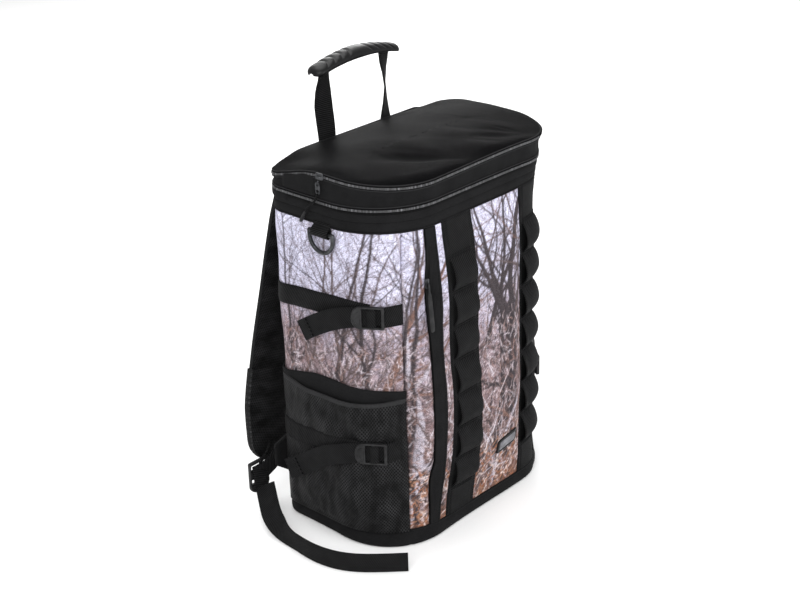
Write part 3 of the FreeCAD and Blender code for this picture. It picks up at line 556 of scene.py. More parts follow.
def metal_material():
    """Gunmetal coating, rubbed brighter in random patches."""
    graph = Graph("gunmetal", Metallic=0.85)
    place = graph.solid()
    wear = graph.noise(place, 120.0, 5.0, 0.7)
    colour = graph.ramp(wear, (0.4, tone(40, 41, 43)), (0.8, tone(92, 93, 96)))
    rough = graph.ramp(wear, (0.3, 0.42), (0.8, 0.26))
    return graph.finish(colour, graph.bump(graph.noise(place, 1800.0), 0.02), rough)


def coil_material():
    """Nylon zip coil, glossy, with glints painted on its turns as pale spots."""
    graph = Graph("zip_coil", Roughness=0.28, Specular_IOR_Level=0.6)
    # Painted highlights: pale spots on the dark coil stand in for light glinting off its turns.
    painted_glints = graph.noise(graph.cloth((1.0, 0.1, 1.0)), 420.0, 2.0)
    return graph.finish(graph.ramp(painted_glints, (0.46, tone(9, 9, 10)), (0.66, tone(104, 104, 108))))


def camo_material():
    """The printed cloth: its colour is painted on the mesh, with weave and fine grain over it."""
    graph = Graph("camo_print", Roughness=0.8, Specular_IOR_Level=0.15)
    print_colour = graph.add("Attribute", attribute_name="print")["Color"]
    place = graph.cloth()
    grain = graph.noise(place, 750.0, 4.0, 0.7)
    blots = graph.noise(place, 210.0, 3.0, 0.6)
    shade = graph.ramp(grain, (0.36, 0.42), (0.62, 1.25))
    soft = graph.ramp(blots, (0.35, (0.90, 0.86, 0.86)), (0.65, (1.05, 1.05, 1.06)))
    colour = graph.mix(1.0, print_colour, shade, "MULTIPLY")
    colour = graph.mix(1.0, colour, soft, "MULTIPLY")
    yarns = graph.maths("MAXIMUM", graph.wave(place, 0.9 * MM, "X"), graph.wave(place, 0.9 * MM, "Y"))
    return graph.finish(colour, graph.bump(yarns, 0.05))


CAMO = camo_material()
LID_CLOTH = woven_material(
    "lid_cloth", tone(1, 1, 1), tone(15, 15, 16), 0.8 * MM, 0.08, roughness=0.5, sheen=0.006, gloss=0.005
)
BLACK_CLOTH = woven_material("black_cloth", tone(3, 3, 3), tone(30, 30, 31), 1.0 * MM, 0.14)
BINDING = woven_material("binding_tape", tone(6, 6, 6), tone(38, 38, 39), 1.4 * MM, 0.16, 0.75)
HEM = woven_material("pocket_hem", tone(16, 16, 16), tone(50, 50, 51), 1.4 * MM, 0.16, 0.7)
LINING = woven_material("lining", tone(46, 47, 50), tone(88, 90, 95), 1.1 * MM, 0.10)
LINING_SOLID = moulded_material("lining_coating", tone(44, 45, 48), tone(74, 76, 80), 0.75, 0.05)
WEB = webbing_material("webbing", tone(2, 2, 2), tone(34, 34, 35))
# Each mesh: thread colour, then the near-black colour painted in its holes as shade, then its pitch.
POCKET_MESH = mesh_material("pocket_mesh", tone(31, 31, 32), tone(1, 1, 1), 2.4 * MM)
AIR_MESH = mesh_material("air_mesh", tone(34, 34, 35), tone(3, 3, 3), 2.0 * MM, 0.3)
TAPE = woven_material("zip_tape", tone(2, 2, 2), tone(18, 18, 19), 0.9 * MM, 0.12)
COIL = coil_material()
BUCKLE = moulded_material("buckle", tone(14, 14, 15), tone(46, 46, 47), 0.42)
GRIP = moulded_material("grip", tone(3, 3, 4), tone(15, 15, 16), 0.38, 0.06)
PULL = moulded_material("pull_rubber", tone(16, 16, 17), tone(38, 38, 39), 0.5)
PATCH_RIM = moulded_material("patch_rim", tone(6, 6, 7), tone(20, 20, 21), 0.4)
PATCH_FACE = moulded_material("patch_face", tone(88, 88, 92), tone(132, 132, 138), 0.45)
BOARD = moulded_material("stiff_board", tone(20, 20, 22), tone(44, 44, 46), 0.6, 0.1)
GUNMETAL = metal_material()
BRAID = webbing_material("braided_cord", tone(4, 4, 4), tone(26, 26, 27))

# ---------------------------------------------------------------- winter-woods print


PRINT_CELL = 0.8
PRINT_LEFT, PRINT_RIGHT = -352.0, 352.0
PRINT_LOW, PRINT_HIGH = 10.0, 404.0
LIMB_STEP = 7.0


def stroke(canvas, start, end, wide_start, wide_end, colour, strength=1.0):
    """Paint a tapering line, darker along one side."""
    origin = np.array([PRINT_LEFT, PRINT_LOW])
    a, b = (np.asarray(start) - origin) / PRINT_CELL, (np.asarray(end) - origin) / PRINT_CELL
    reach = max(wide_start, wide_end) / PRINT_CELL / 2 + 1.5
    low = np.floor(np.minimum(a, b) - reach).astype(int)
    high = np.ceil(np.maximum(a, b) + reach).astype(int) + 1
    low = np.maximum(low, 0)
    high = np.minimum(high, [canvas.shape[1], canvas.shape[0]])
    if (high <= low).any():
        return
    x = np.arange(low[0], high[0]) - a[0]
    y = (np.arange(low[1], high[1]) - a[1])[:, None]
    run = b - a
    length = max(float(np.hypot(*run)), 1e-6)
    along = np.clip((x * run[0] + y * run[1]) / length**2, 0, 1)
    aside = (x * run[1] - y * run[0]) / length
    away = np.hypot(x - along * run[0], y - along * run[1])
    half = (wide_start + (wide_end - wide_start) * along) / 2 / PRINT_CELL
    cover = np.clip(half - away + 0.5, 0, 1) * strength
    shading = 1 + 0.28 * np.clip(aside / np.maximum(half, 0.6), -1, 1) * (half > 1.2)
    window = canvas[low[1] : high[1], low[0] : high[0]]
    window += (np.asarray(colour) * shading[..., None] - window) * cover[..., None]


def limb(canvas, rng, start, heading, length, width, colour, depth, forks):
    """A wandering, thinning limb with side branches."""
    point = np.asarray(start, float)
    steps = max(3, int(length / LIMB_STEP))
    wander = 0.06 + 0.07 * depth
    for i in range(steps):
        heading += rng.normal(0, wander)
        ahead = point + LIMB_STEP * np.array([math.sin(heading), math.cos(heading)])
        thin = [width * (1 - 0.75 * k / steps) for k in (i, i + 1)]
        stroke(canvas, point, ahead, *thin, colour, 0.95)
        if depth < 4 and rng.random() < forks:
            turn = rng.choice([-1, 1]) * rng.uniform(0.35, 1.05)
            limb(
                canvas, rng, ahead, heading + turn, length * rng.uniform(0.25, 0.5),
                thin[1] * rng.uniform(0.4, 0.65), colour, depth + 1, forks * 0.95,
            )
        point = ahead


def paint_ground(canvas):
    """Sky above, twig haze in the middle, leaf litter below."""
    rows, columns = canvas.shape[:2]
    z = (PRINT_LOW + PRINT_CELL * np.arange(rows))[:, None]
    s = (PRINT_LEFT + PRINT_CELL * np.arange(columns))[None, :]
    height = z + 26 * ripple(s, z, 130, 11) + 12 * ripple(s, z, 45, 12)
    stops = (20, 80, 150, 215, 270, 315, 400)
    colours = [
        tone(112, 82, 70), tone(108, 88, 84), tone(116, 98, 100), tone(138, 122, 128),
        tone(180, 172, 188), tone(206, 206, 228), tone(216, 217, 240),
    ]
    for k in range(3):
        canvas[..., k] = np.interp(height, stops, [c[k] for c in colours])
    patches = 1 + 0.13 * ripple(s * 2.2, z * 0.7, 40, 13) + 0.09 * ripple(s * 1.6, z, 12, 14)
    canvas *= patches[..., None]


def scatter(canvas, rng, count, low, high, colours, length, width, upright, strength):
    """Short wandering strokes: twigs, grass and litter."""
    for _ in range(count):
        point = np.array([rng.uniform(PRINT_LEFT, PRINT_RIGHT), rng.uniform(low, high)])
        heading = rng.normal(0, upright)
        wide = rng.uniform(0.5, 1) * width
        colour = np.array(colours[rng.integers(len(colours))]) * rng.uniform(0.8, 1.2)
        for _ in range(3):
            heading += rng.normal(0, 0.35)
            ahead = point + length / 3 * np.array([math.sin(heading), math.cos(heading)])
            stroke(canvas, point, ahead, wide, wide * 0.7, colour, strength)
            point = ahead
            wide *= 0.7


BARK = tone(92, 80, 80)
DARK_BARK = tone(62, 56, 59)
RED_BARK = tone(118, 92, 84)
PALE_BARK = tone(172, 166, 176)
# Trees: (s of the foot, z of the foot, lean, width, colour, forks).
TREES = (
    (-306, 90, 0.05, 6, BARK, 0.30),
    (-272, 170, -0.08, 5, DARK_BARK, 0.36),
    (-246, 120, 0.10, 4, BARK, 0.34),
    (-232, 150, 0.30, 7, DARK_BARK, 0.20),
    (-214, 60, -0.05, 5, BARK, 0.32),
    (-196, 150, -0.30, 6, BARK, 0.20),
    (-178, 40, 0.10, 8, BARK, 0.24),
    (-158, 60, -0.02, 12, RED_BARK, 0.18),
    (-146, 70, -0.06, 9, DARK_BARK, 0.24),
    (-118, 30, 0.03, 11, PALE_BARK, 0.08),
    (-108, 20, -0.10, 8, DARK_BARK, 0.14),
    (-112, 150, -0.06, 6, DARK_BARK, 0.28),
    (-78, 40, 0.02, 8, BARK, 0.20),
    (-14, 30, 0.12, 9, BARK, 0.20),
    (-6, 230, 0.36, 9, DARK_BARK, 0.16),
    (58, 205, -0.42, 11, DARK_BARK, 0.16),
    (28, 120, 0.10, 16, DARK_BARK, 0.10),
    (6, 40, 0.16, 11, DARK_BARK, 0.10),
    (34, 60, 0.02, 13, DARK_BARK, 0.14),
    (50, 60, -0.04, 8, RED_BARK, 0.14),
    (12, 26, 0.30, 6, PALE_BARK, 0.08),
    (70, 50, 0.03, 8, BARK, 0.24),
    (122, 60, -0.05, 7, DARK_BARK, 0.28),
    (160, 30, 0.06, 10, RED_BARK, 0.20),
    (204, 70, -0.06, 6, BARK, 0.32),
    (250, 40, 0.08, 8, DARK_BARK, 0.28),
    (300, 90, -0.04, 6, BARK, 0.30),
)


def paint_print():
    """The whole print on flat cloth: ground, haze, trees, grass and litter, in that order."""
    rng = np.random.default_rng(20)
    rows = int((PRINT_HIGH - PRINT_LOW) / PRINT_CELL)
    columns = int((PRINT_RIGHT - PRINT_LEFT) / PRINT_CELL)
    canvas = np.zeros((rows, columns, 3))
    paint_ground(canvas)
    haze = [tone(140, 122, 126), tone(106, 94, 100), tone(182, 168, 176)]
    grass = [
        tone(196, 178, 182), tone(72, 60, 60), tone(226, 216, 224),
        tone(126, 96, 88), tone(40, 36, 40), tone(160, 132, 126),
    ]
    litter = [
        tone(150, 98, 70), tone(100, 70, 58), tone(216, 198, 192),
        tone(48, 38, 36), tone(168, 124, 98),
    ]
    pale = [tone(228, 222, 230), tone(206, 196, 204)]
    scatter(canvas, rng, 1500, 230, 400, haze, 24, 0.9, 0.8, 0.6)
    scatter(canvas, rng, 6500, 20, 290, grass, 14, 1.4, 0.7, 0.75)
    for s, z, lean, width, colour, forks in TREES:
        limb(canvas, rng, (s, z), lean, 430 - z, width, colour, 0, forks)
    scatter(canvas, rng, 6500, 20, 255, grass, 11, 1.2, 0.6, 0.8)
    scatter(canvas, rng, 2400, 12, 95, litter, 9, 2.8, 1.2, 0.85)
    scatter(canvas, rng, 170, 20, 190, pale, 40, 1.8, 0.8, 0.85)
    return np.clip(canvas, 0.01, 0.92)


PRINT = paint_print()


def print_on(piece, shift):
    """Paint the print on a panel from its places on the cloth."""
    mesh = piece.data
    flat = np.zeros(len(mesh.vertices) * 3, np.float32)
    mesh.attributes["cloth"].data.foreach_get("vector", flat)
    s, z = flat.reshape(-1, 3)[:, :2].T / MM
    column = np.clip((s + shift - PRINT_LEFT) / PRINT_CELL, 0, PRINT.shape[1] - 1.01)
    row = np.clip((z - PRINT_LOW) / PRINT_CELL, 0, PRINT.shape[0] - 1.01)
    i, j = row.astype(int), column.astype(int)
    u, v = (column - j)[:, None], (row - i)[:, None]
    low = PRINT[i, j] * (1 - u) + PRINT[i, j + 1] * u
    high = PRINT[i + 1, j] * (1 - u) + PRINT[i + 1, j + 1] * u
    colours = np.ones((len(s), 4), np.float32)
    colours[:, :3] = low * (1 - v) + high * v
    layer = mesh.color_attributes.new("print", "FLOAT_COLOR", "POINT")
    layer.data.foreach_set("color", colours.ravel())

# ---------------------------------------------------------------- camera and cords


CAMERA_PLACE = (-1.32342, -1.19824, 1.06594)
CAMERA_LENS = 73.11


def make_camera():
    """The camera: its turn round the bag, its height angle, a slight roll and a longish lens."""
    turn, climb, roll = math.radians(-46.936), math.radians(24.523), math.radians(-1.59)
    level = math.cos(climb)
    back = Vector((math.sin(turn) * level, -math.cos(turn) * level, math.sin(climb)))
    side = Vector((0, 0, 1)).cross(back).normalized()
    above = back.cross(side)
    right = side * math.cos(roll) + above * math.sin(roll)
    top = above * math.cos(roll) - side * math.sin(roll)
    data = bpy.data.cameras.new("camera")
    data.lens = CAMERA_LENS
    data.sensor_width = 36
    camera = bpy.data.objects.new("camera", data)
    facing = Matrix((right, top, back)).transposed().to_4x4()
    camera.matrix_world = Matrix.Translation(CAMERA_PLACE) @ facing
    bpy.context.scene.collection.objects.link(camera)
    bpy.context.scene.camera = camera
    bpy.context.scene.view_settings.view_transform = "Standard"


LEFT_TAIL = (
    (-188, 97, 41),
    (-198, 82, 30),
    (-210, 63, 19),
    (-219, 34, 13.2),
    (-224, 2, 12.6),
    (-225, -31, 12.6),
    (-217, -62, 12.6),
    (-198, -90, 12.6),
    (-168, -120, 12.6),
)
RIGHT_TAIL = (
    (187, 122, 40),
    (183, 131, 30.5),
    (169, 138, 21),
    (147, 142, 14.5),
    (119, 141, 12.6),
    (91, 137, 12.6),
    (63, 135, 12.6),
    (35, 137, 12.6),
    (7, 142, 12.6),
    (-21, 143, 12.6),
    (-49, 140, 12.6),
)
LID_PULL = (
    (-169.1, 0, 437),
    (-169.4, 2.6, 430),
    (-169.2, 8.5, 424.2),
    (-169.4, 15.2, 419.6),
    (-169.1, 19.5, 413),
)


def route_line(name, route, count):
    """Evenly spaced points of the smooth curve that a route's points pull on."""
    curve = bpy.data.curves.new(name, "CURVE")
    curve.dimensions = "3D"
    curve.resolution_u = 32
    spline = curve.splines.new("NURBS")
    spline.points.add(len(route) - 1)
    for point, place in zip(spline.points, route):
        point.co = (place[0] * MM, place[1] * MM, place[2] * MM, 1)
    spline.order_u = 3
    spline.use_endpoint_u = True
    holder = bpy.data.objects.new(name, curve)
    bpy.context.scene.collection.objects.link(holder)
    mesh = bpy.data.meshes.new_from_object(holder)
    line = np.array([v.co for v in mesh.vertices]) / MM
    bpy.data.objects.remove(holder)
    bpy.data.curves.remove(curve)
    bpy.data.meshes.remove(mesh)
    steps = distances(line)
    return points_at(np.linspace(0, steps[-1], count), steps, line)


def line_length(line):
    """Length of a line in millimetres."""
    return float(np.linalg.norm(np.diff(line, axis=0), axis=1).sum())


def strap_tail(name, route, facing):
    """The loose end of a shoulder strap's webbing.

    It leaves the buckle flat, twists on its way down and then lies on its edge on the floor.
    """
    line = route_line(name, route, 150)
    share = np.linspace(0, 1, len(line))
    tangent = unit(np.gradient(line, axis=0))
    side = unit(np.cross([0, 0, 1.0], tangent))
    turn = ease(share, 0.10, 0.42)[:, None]
    outs = unit((1 - turn) * np.array([0, 0.55, 1.0]) + turn * side * facing)
    piece = sweep(name, line, outs, strap_loop(WEBBING, 2.0))
    place_on(piece, "pack", "webbing", WEB, name)


def lid_pull():
    """The lid slider's braided pull with its moulded end."""
    line = route_line("lid_pull_cord", LID_PULL, 40)
    cord = tube("lid_pull_cord", line, 1.25, 12)
    place_on(cord, "lid_zip_pull", "pull_cord", BRAID, "lid_pull_cord")
    along = unit(line[-1] - line[-2])
    stations = np.array([0, 0.5, 2, 6, 11, 15, 16.6, 17])
    radii = np.array([1.3, 1.7, 1.95, 2.2, 2.5, 2.6, 2.2, 1.2])
    scale = np.stack([radii * 1.05, radii * 0.8], axis=-1)
    end = tube("lid_pull_end", line[-1] + stations[:, None] * along, 1.0, 20, scale)
    place_on(end, "lid_zip_pull", "pull_rubber", PULL, "lid_pull_end")


make_camera()
strap_tail("left_strap_tail", LEFT_TAIL, -1)
strap_tail("right_strap_tail", RIGHT_TAIL, -1)
lid_pull()

# ---------------------------------------------------------------- the bag's body


def stretch(low, high, step):
    """Evenly spaced places from low to high, about a step apart."""
    return np.linspace(low, high, max(2, int(round(abs(high - low) / step)) + 1))


STITCH = 2.6
STITCH_GAP = 1.5
THREAD_RADIUS = 0.28


def stitches(name, line, outs):
    """A row of thread stitches along a line on a surface, as small rounded bars."""
    steps = distances(line)
    outs = np.broadcast_to(np.asarray(outs, float), line.shape)
    starts = np.arange(STITCH_GAP, steps[-1] - STITCH, STITCH + STITCH_GAP)
    points = []
    faces = []
    loop = np.array([(-1, 0), (-0.5, 1), (0.5, 1), (1, 0)])
    for start in starts:
        ends = [points_at(start + k * STITCH, steps, line) for k in (0, 0.5, 1)]
        out = unit(points_at(start, steps, outs))
        across = unit(np.cross(ends[2] - ends[0], out))
        first = len(points)
        for centre, grow in zip(ends, (0.3, 1.0, 0.3)):
            for a, b in loop:
                points.append(centre + across * a * THREAD_RADIUS + out * b * THREAD_RADIUS * grow)
        for ring in (0, 1):
            for j in range(3):
                low = first + ring * 4 + j
                faces.append([low, low + 1, low + 5, low + 4])
    return mesh_object(name, points, faces, np.zeros((len(points), 2)))


def boot_profile(place):
    """Section of the coated base: filled out at the front left corner, padded up to its piping."""
    full = 6.5 * hump(place, -140, 62)
    piping = [(-9, 1.5), (-9, 17.5), (-0.6, 18.2), (0.4, 18.6), (1.5, 18.2), (2.0, 17.2)]
    face = [
        (1.5 + 0.1 * full, 16.1), (0.6 + 0.15 * full, 15.6), (1.2 + 0.45 * full, 12.5),
        (1.6 + 0.7 * full, 9), (1.7 + 0.9 * full, 5.0), (1.2 + full, 2.0), (-0.4 + full, 0.6),
    ]
    return piping + face + [(-6, 0.2)]


def make_boot():
    """The coated base: its padded wall and its floor."""
    around = np.linspace(-HALF_LOOP, HALF_LOOP, 420)[:-1]
    piece = band("base_boot", around, boot_profile, closed=True)
    edge = wall(around, np.full_like(around, 0.4), -7.5)
    shrinks = (1.0, 0.8, 0.55, 0.25, 0.02)
    rings = np.array([edge * [k, k, 1] + [0, 0, 0.3 * (1 - k)] for k in shrinks])
    faces = grid_faces(len(rings), len(around), wrap=True)
    floor = thicken(mesh_object("boot_floor", rings, faces, rings[..., :2]), 2.0, 1)
    boot = join_applied("base_boot", [piece, floor])
    place_on(boot, "pack", "black_fabric", BLACK_CLOTH, "base_boot")


def apply_modifiers(piece):
    """Turn what a piece's modifiers show into its mesh."""
    graph = bpy.context.evaluated_depsgraph_get()
    mesh = bpy.data.meshes.new_from_object(piece.evaluated_get(graph), depsgraph=graph)
    piece.modifiers.clear()
    piece.data = mesh
    return piece


def join_applied(name, pieces):
    """Join pieces whose modifiers have to be applied first."""
    bpy.context.view_layer.update()
    return join(name, [apply_modifiers(piece) for piece in pieces])


def turned_edges(s, low, high):
    """How far a panel's outer edges turn in, so that its seams read as seams."""
    return -1.6 * (1 - ease(s, low, low + 3.5)) - 1.6 * ease(s, high - 3.5, high)


def camo_panel(name, low, high, fine_from, shift=0):
    """One printed panel of the wall: fine rows where it shows, coarser under the pockets."""
    s = stretch(low, high, 1.3)
    z = stretch(fine_from, PANEL_TOP, 1.3)
    if fine_from > BOOT_TOP:
        z = np.r_[stretch(BOOT_TOP - TUCK, fine_from, 4.0)[:-1], z]
    piece = panel(name, s, z, lambda a, _: turned_edges(a, low, high))
    print_on(piece, shift)
    place_on(piece, "pack", "camo_fabric", CAMO, name)
    line_inside(piece)


FINE_FROM = 185.0  # the side panels show only above this height, over their pockets


def make_panels():
    """The printed panels and the plain back."""
    camo_panel("left_side_panel", -BACK_SEAM, -SEAM, FINE_FROM)
    camo_panel("right_side_panel", SEAM, BACK_SEAM, FINE_FROM)
    camo_panel("front_panel", -85.2, SEAM, BOOT_TOP)
    camo_panel("front_side_strip", -SEAM, -97.6, BOOT_TOP, 6)
    over = stretch(BACK_SEAM, 2 * HALF_LOOP - BACK_SEAM, 4.0)
    over = np.where(over > HALF_LOOP, over - 2 * HALF_LOOP, over)
    s, rows = np.meshgrid(over, np.linspace(0, 1, 110))
    z = BOOT_TOP - TUCK + (hinge_height(plan(s)[0]) - 0.8 - BOOT_TOP + TUCK) * rows
    back = sheet("back_panel", wall(s, z, 0.5 * ripple(s, z, 60, 31)), s, z, 2.4)
    place_on(back, "pack", "black_fabric", BLACK_CLOTH, "back_panel")
    line_inside(back)


def hinge_height(x):
    """The back edge, where the lid is sewn on, drops at its ends."""
    return 450.0 - 6.0 * ease(np.abs(x), 92, 121)


def line_inside(piece):
    """The pale lining on a panel's inner face."""
    piece.data.materials.append(LINING)
    piece.modifiers["thickness"].material_offset = 1


def coil(name, line, radius, pitch=1.9):
    """A closed zip's coil as one ridged bead."""
    length = line_length(line)
    count = int(length / pitch * 4)
    centres, _ = smooth_path(line, count)
    swell = 1.0 + 0.34 * np.cos(2 * math.pi * np.linspace(0, length, count) / pitch)
    return tube(name, centres, radius, 8, np.stack([swell, swell], axis=-1))


def zip_row(name, body, s, heights, out, radius, tape):
    """One half of a zip round the bag: a tape with its row of coil along the edge.

    heights are the coil's, at each s; tape is where the tape begins and ends above them.
    """
    rows = np.linspace(0, 1, 4)[:, None]
    levels = (tape[0] + (tape[1] - tape[0]) * rows) + heights[None, :]
    piece = sheet(name, wall(s, levels, out), s, levels, 0.9)
    place_on(piece, body, "zip_tape", TAPE, name)
    bead = coil(name + "_coil", wall(s, heights, out + radius * 0.55), radius)
    place_on(bead, body, "zip_tape", COIL)


FRONT_ZIP = -95.1
FLAP_FREE, FLAP_SEWN = -98.0, -83.6


def front_zip():
    """The front pocket's zip, which runs up beside the ladder column, and the flap over its edge."""
    z = stretch(BOOT_TOP - TUCK, PANEL_TOP, 3.0)
    s = stretch(-98.4, -84.6, 2.0)
    tape = panel("front_zip_tape", s, z, -1.4, 1.2)
    place_on(tape, "pack", "zip_tape", TAPE, "front_zip")
    for side in (-1, 1):
        line = wall(np.full_like(z, FRONT_ZIP + side * 0.95), z, -0.4)
        bead = coil("front_zip_coil_" + side_name(side), line, 0.95, 1.8)
        place_on(bead, "pack", "zip_tape", TAPE)
    s = stretch(FLAP_FREE, FLAP_SEWN, 1.2)
    flap = panel("front_zip_flap", s, stretch(BOOT_TOP - TUCK, PANEL_TOP, 2.0), flap_rise, 1.3)
    place_on(flap, "pack", "binding", BLACK_CLOTH, "front_zip_flap")


def flap_rise(s, z):
    """The flap reaches out level with the filled pocket, and its free edge waves a little."""
    free = 1 - ease(s, -98, -86)
    wave = 1.0 * ripple(z, 0, 85, 41) + 0.4 * ripple(z, 0, 26, 42)
    wave = wave * ease(z, 20, 50) * (1 - ease(z, 372, 395))
    folds = 0.5 * hump(s, -97.4, 1.0) + 0.4 * hump(s, -85, 1.0)
    return 1.2 + free * (0.03 * bulge(z) + wave) + folds


# The collar's section: height, and how far it stands out between its stitched channels.
COLLAR_SECTION = (
    (397.6, 0.2), (398.6, 1.5), (399.6, 1.9), (400.6, 1.0), (402, 1.5), (405, 1.9),
    (408, 1.8), (410.2, 1.2), (411, 0.7), (411.8, 1.2), (414, 1.7), (417, 1.8),
    (419.6, 1.3), (420.6, 0.9), (421.6, 1.3), (422.6, 0.6),
)


def make_collar():
    """The black band under the main zip, with its stitched channels."""
    s = np.linspace(-HALF_LOOP + 118, HALF_LOOP - 118, 330)
    z, out = np.array(COLLAR_SECTION).T[..., None]
    piece = sheet("upper_collar", wall(s, z, out - 0.4), s, z, 2.4)
    place_on(piece, "pack", "black_fabric", BLACK_CLOTH, "upper_collar")

# ---------------------------------------------------------------- lid and its zips


def left_place(y):
    """Arc length of a place on the left side."""
    return -(ARC_END + y + DEPTH / 2 - FRONT_RADIUS)


# The lid's zip line from the back left round the front: arc length and height.
LID_ZIP_LINE = (
    (-BACK_SEAM, 437.0), (left_place(70), 441.0), (left_place(35), 453.5), (left_place(0), 458.5),
    (left_place(-45), 453.0), (-110, 448.5), (-60, 449.0), (20, 450.5),
    (100, 451.0), (150, 450.0), (ARC_END, 448.0), (BACK_SEAM, 443.0),
)


def lid_zip_height(s):
    """The lid's zip line: highest on the left side, lowest at its two ends."""
    arcs, heights = zip(*LID_ZIP_LINE)
    return sum(np.interp(s + shift, arcs, heights) for shift in (-24, -12, 0, 12, 24)) / 5


def gusset_out(s, z):
    """The lid's side wall sags a little between its zips, with soft upright puckers."""
    middle = hump(z, 439, 8)
    return 0.8 + middle * (-1.2 + 0.7 * ripple(s, z * 0.3, 46, 51)) + 0.25 * ripple(s, z, 14, 52)


GUSSET_LOW = 428.2


def make_zips_and_gusset():
    """The main zip, the lid's side wall with its welts, and the lid's zip."""
    s = stretch(-BACK_SEAM, BACK_SEAM, 2.4)
    zip_row("main_zip_lower", "pack", s, np.full_like(s, 424.5), 0.9, 0.75, (-3.6, -0.2))
    zip_row("main_zip_upper", "main_lid", s, np.full_like(s, 425.7), 0.9, 0.75, (0.2, 3.6))
    line = lid_zip_height(s)
    z = GUSSET_LOW + (line[None, :] - 3.0 - GUSSET_LOW) * np.linspace(0, 1, 14)[:, None]
    gusset = sheet("lid_gusset", wall(s, z, gusset_out(s, z)), s, z, 2.0)
    place_on(gusset, "main_lid", "black_fabric", BLACK_CLOTH, "lid_gusset")
    rim = stretch(-BACK_SEAM, BACK_SEAM, 2.0)
    for name, level, out in (("gusset_welt_low", 429.0, 1.5), ("gusset_welt_high", None, 1.3)):
        heights = np.full_like(rim, level) if level else lid_zip_height(rim) - 3.2
        piece = tube(name, wall(rim, heights, out - 0.4), 0.8, 8)
        place_on(piece, "main_lid", "black_fabric", BINDING)
    zip_row("lid_zip_lower", "main_lid", s, line - 0.6, 1.0, 0.7, (-2.6, -0.1))
    zip_row("lid_zip_upper", "lid_pocket_lid", s, line + 0.6, 1.0, 0.7, (0.1, 2.4))


def crown(x, y):
    """Height of the lid's top: a soft crown with a few slack folds."""
    top = 457.5 + 4.5 * np.maximum(0, 1 - (x / 165) ** 2) * np.maximum(0, 1 - (y / 96) ** 2)
    top = top - 4.0 * ease(y, 15, 92) - 3.0 * ease(x, 60, 160) - 4.0 * ease(x, 90, 165) * ease(-y, 10, 80)
    top = top + 3.0 * hump(x, -150, 40) * hump(y, 5, 40) - 7.0 * ease(-x, 112, 164) * ease(y, 20, 88)
    ridge = hump(x * 0.8 + y * 0.6 + 40, 0, 26) * hump(x, -60, 80)
    valley = hump(x * 0.6 + y * 0.8 + 75, 0, 20) * hump(x, -40, 70)
    front = hump(x * 0.35 + y * 0.94 + 40, 0, 15) * hump(x, 60, 70)
    return top + 2.6 * ridge - 4.2 * valley - 3.0 * front + 1.1 * ripple(x, y, 80, 61)


def lid_rows():
    """Shares of the way from the rim to the lid's spine, closer together at the rounded edge."""
    edge = np.array([0, 0.5, 1.2, 2.2, 3.5, 5, 7, 9.5, 12.5, 16]) / (DEPTH / 2)
    return np.r_[edge, np.linspace(20 / (DEPTH / 2), 0.985, 22)]


def lid_shape():
    """The cover from the zip over its rounded edge to the spine down the middle."""
    s = np.linspace(-HALF_LOOP, HALF_LOOP, 380)[:-1]
    x, y, nx, ny = plan(s)
    spine_x = np.clip(x, -(WIDTH - DEPTH) / 2 - 8, (WIDTH - DEPTH) / 2 + 8)
    share = lid_rows()[:, None]
    across = np.hypot(spine_x - x, y)
    inward = share * across[None, :]
    low = lid_zip_height(np.clip(s, -BACK_SEAM, BACK_SEAM))
    back = 445.5 - 3.0 * ease(np.abs(x), 95, 125)
    low = low + (back - low) * ease(np.abs(s), BACK_SEAM - 12, BACK_SEAM + 14) + 2.6
    out = 1.6 * np.exp(-inward / 5) - 0.4
    sag = droop(s)[None, :] * np.exp(-inward / 40)
    px = x + (spine_x - x) * share + nx * out
    py = y + (0 - y) * share + ny * out
    reach = np.clip(inward / (13.0 + 9.0 * ease(-x, 100, 150) * ease(y, 20, 80)), 0, 1)
    rise = np.sqrt(np.maximum(0, 1 - (1 - reach) ** 2))
    pz = low[None, :] + (crown(px, py) - low[None, :]) * rise - sag
    return np.stack([px, py, pz], axis=-1)


SETTLE_FRAMES = 20
CLOTH_STIFFNESS = 15.0


def cloth_settle(piece, pinned, pressure, cap):
    """Let a piece swell as cloth, cap how far its points move, and keep the result."""
    start = np.array([v.co for v in piece.data.vertices])
    group = piece.vertex_groups.new(name="pinned")
    group.add([int(i) for i in pinned], 1.0, "REPLACE")
    cloth = piece.modifiers.new("cloth", "CLOTH")
    cloth.settings.use_pressure = True
    cloth.settings.uniform_pressure_force = pressure
    cloth.settings.effector_weights.gravity = 0
    cloth.settings.tension_stiffness = CLOTH_STIFFNESS
    cloth.settings.compression_stiffness = CLOTH_STIFFNESS
    cloth.settings.quality = 5
    cloth.settings.vertex_group_mass = "pinned"
    scene = bpy.context.scene
    for number in range(1, SETTLE_FRAMES + 1):
        scene.frame_set(number)
    graph = bpy.context.evaluated_depsgraph_get()
    settled = bpy.data.meshes.new_from_object(piece.evaluated_get(graph), depsgraph=graph)
    end = np.array([v.co for v in settled.vertices])
    piece.modifiers.remove(cloth)
    bpy.data.meshes.remove(settled)
    scene.frame_set(1)
    move = end - start
    far = np.linalg.norm(move, axis=1, keepdims=True)
    limit = cap * MM
    move = move * np.where(far > 1e-9, limit * np.tanh(far / limit) / np.maximum(far, 1e-9), 0)
    piece.data.vertices.foreach_set("co", (start + move).astype(np.float32).ravel())
    piece.data.update()
    return piece


def near_spine(edge):
    """Whether an edge lies open beside the lid's spine."""
    return edge.is_boundary and abs(edge.verts[0].co.y) < 0.02


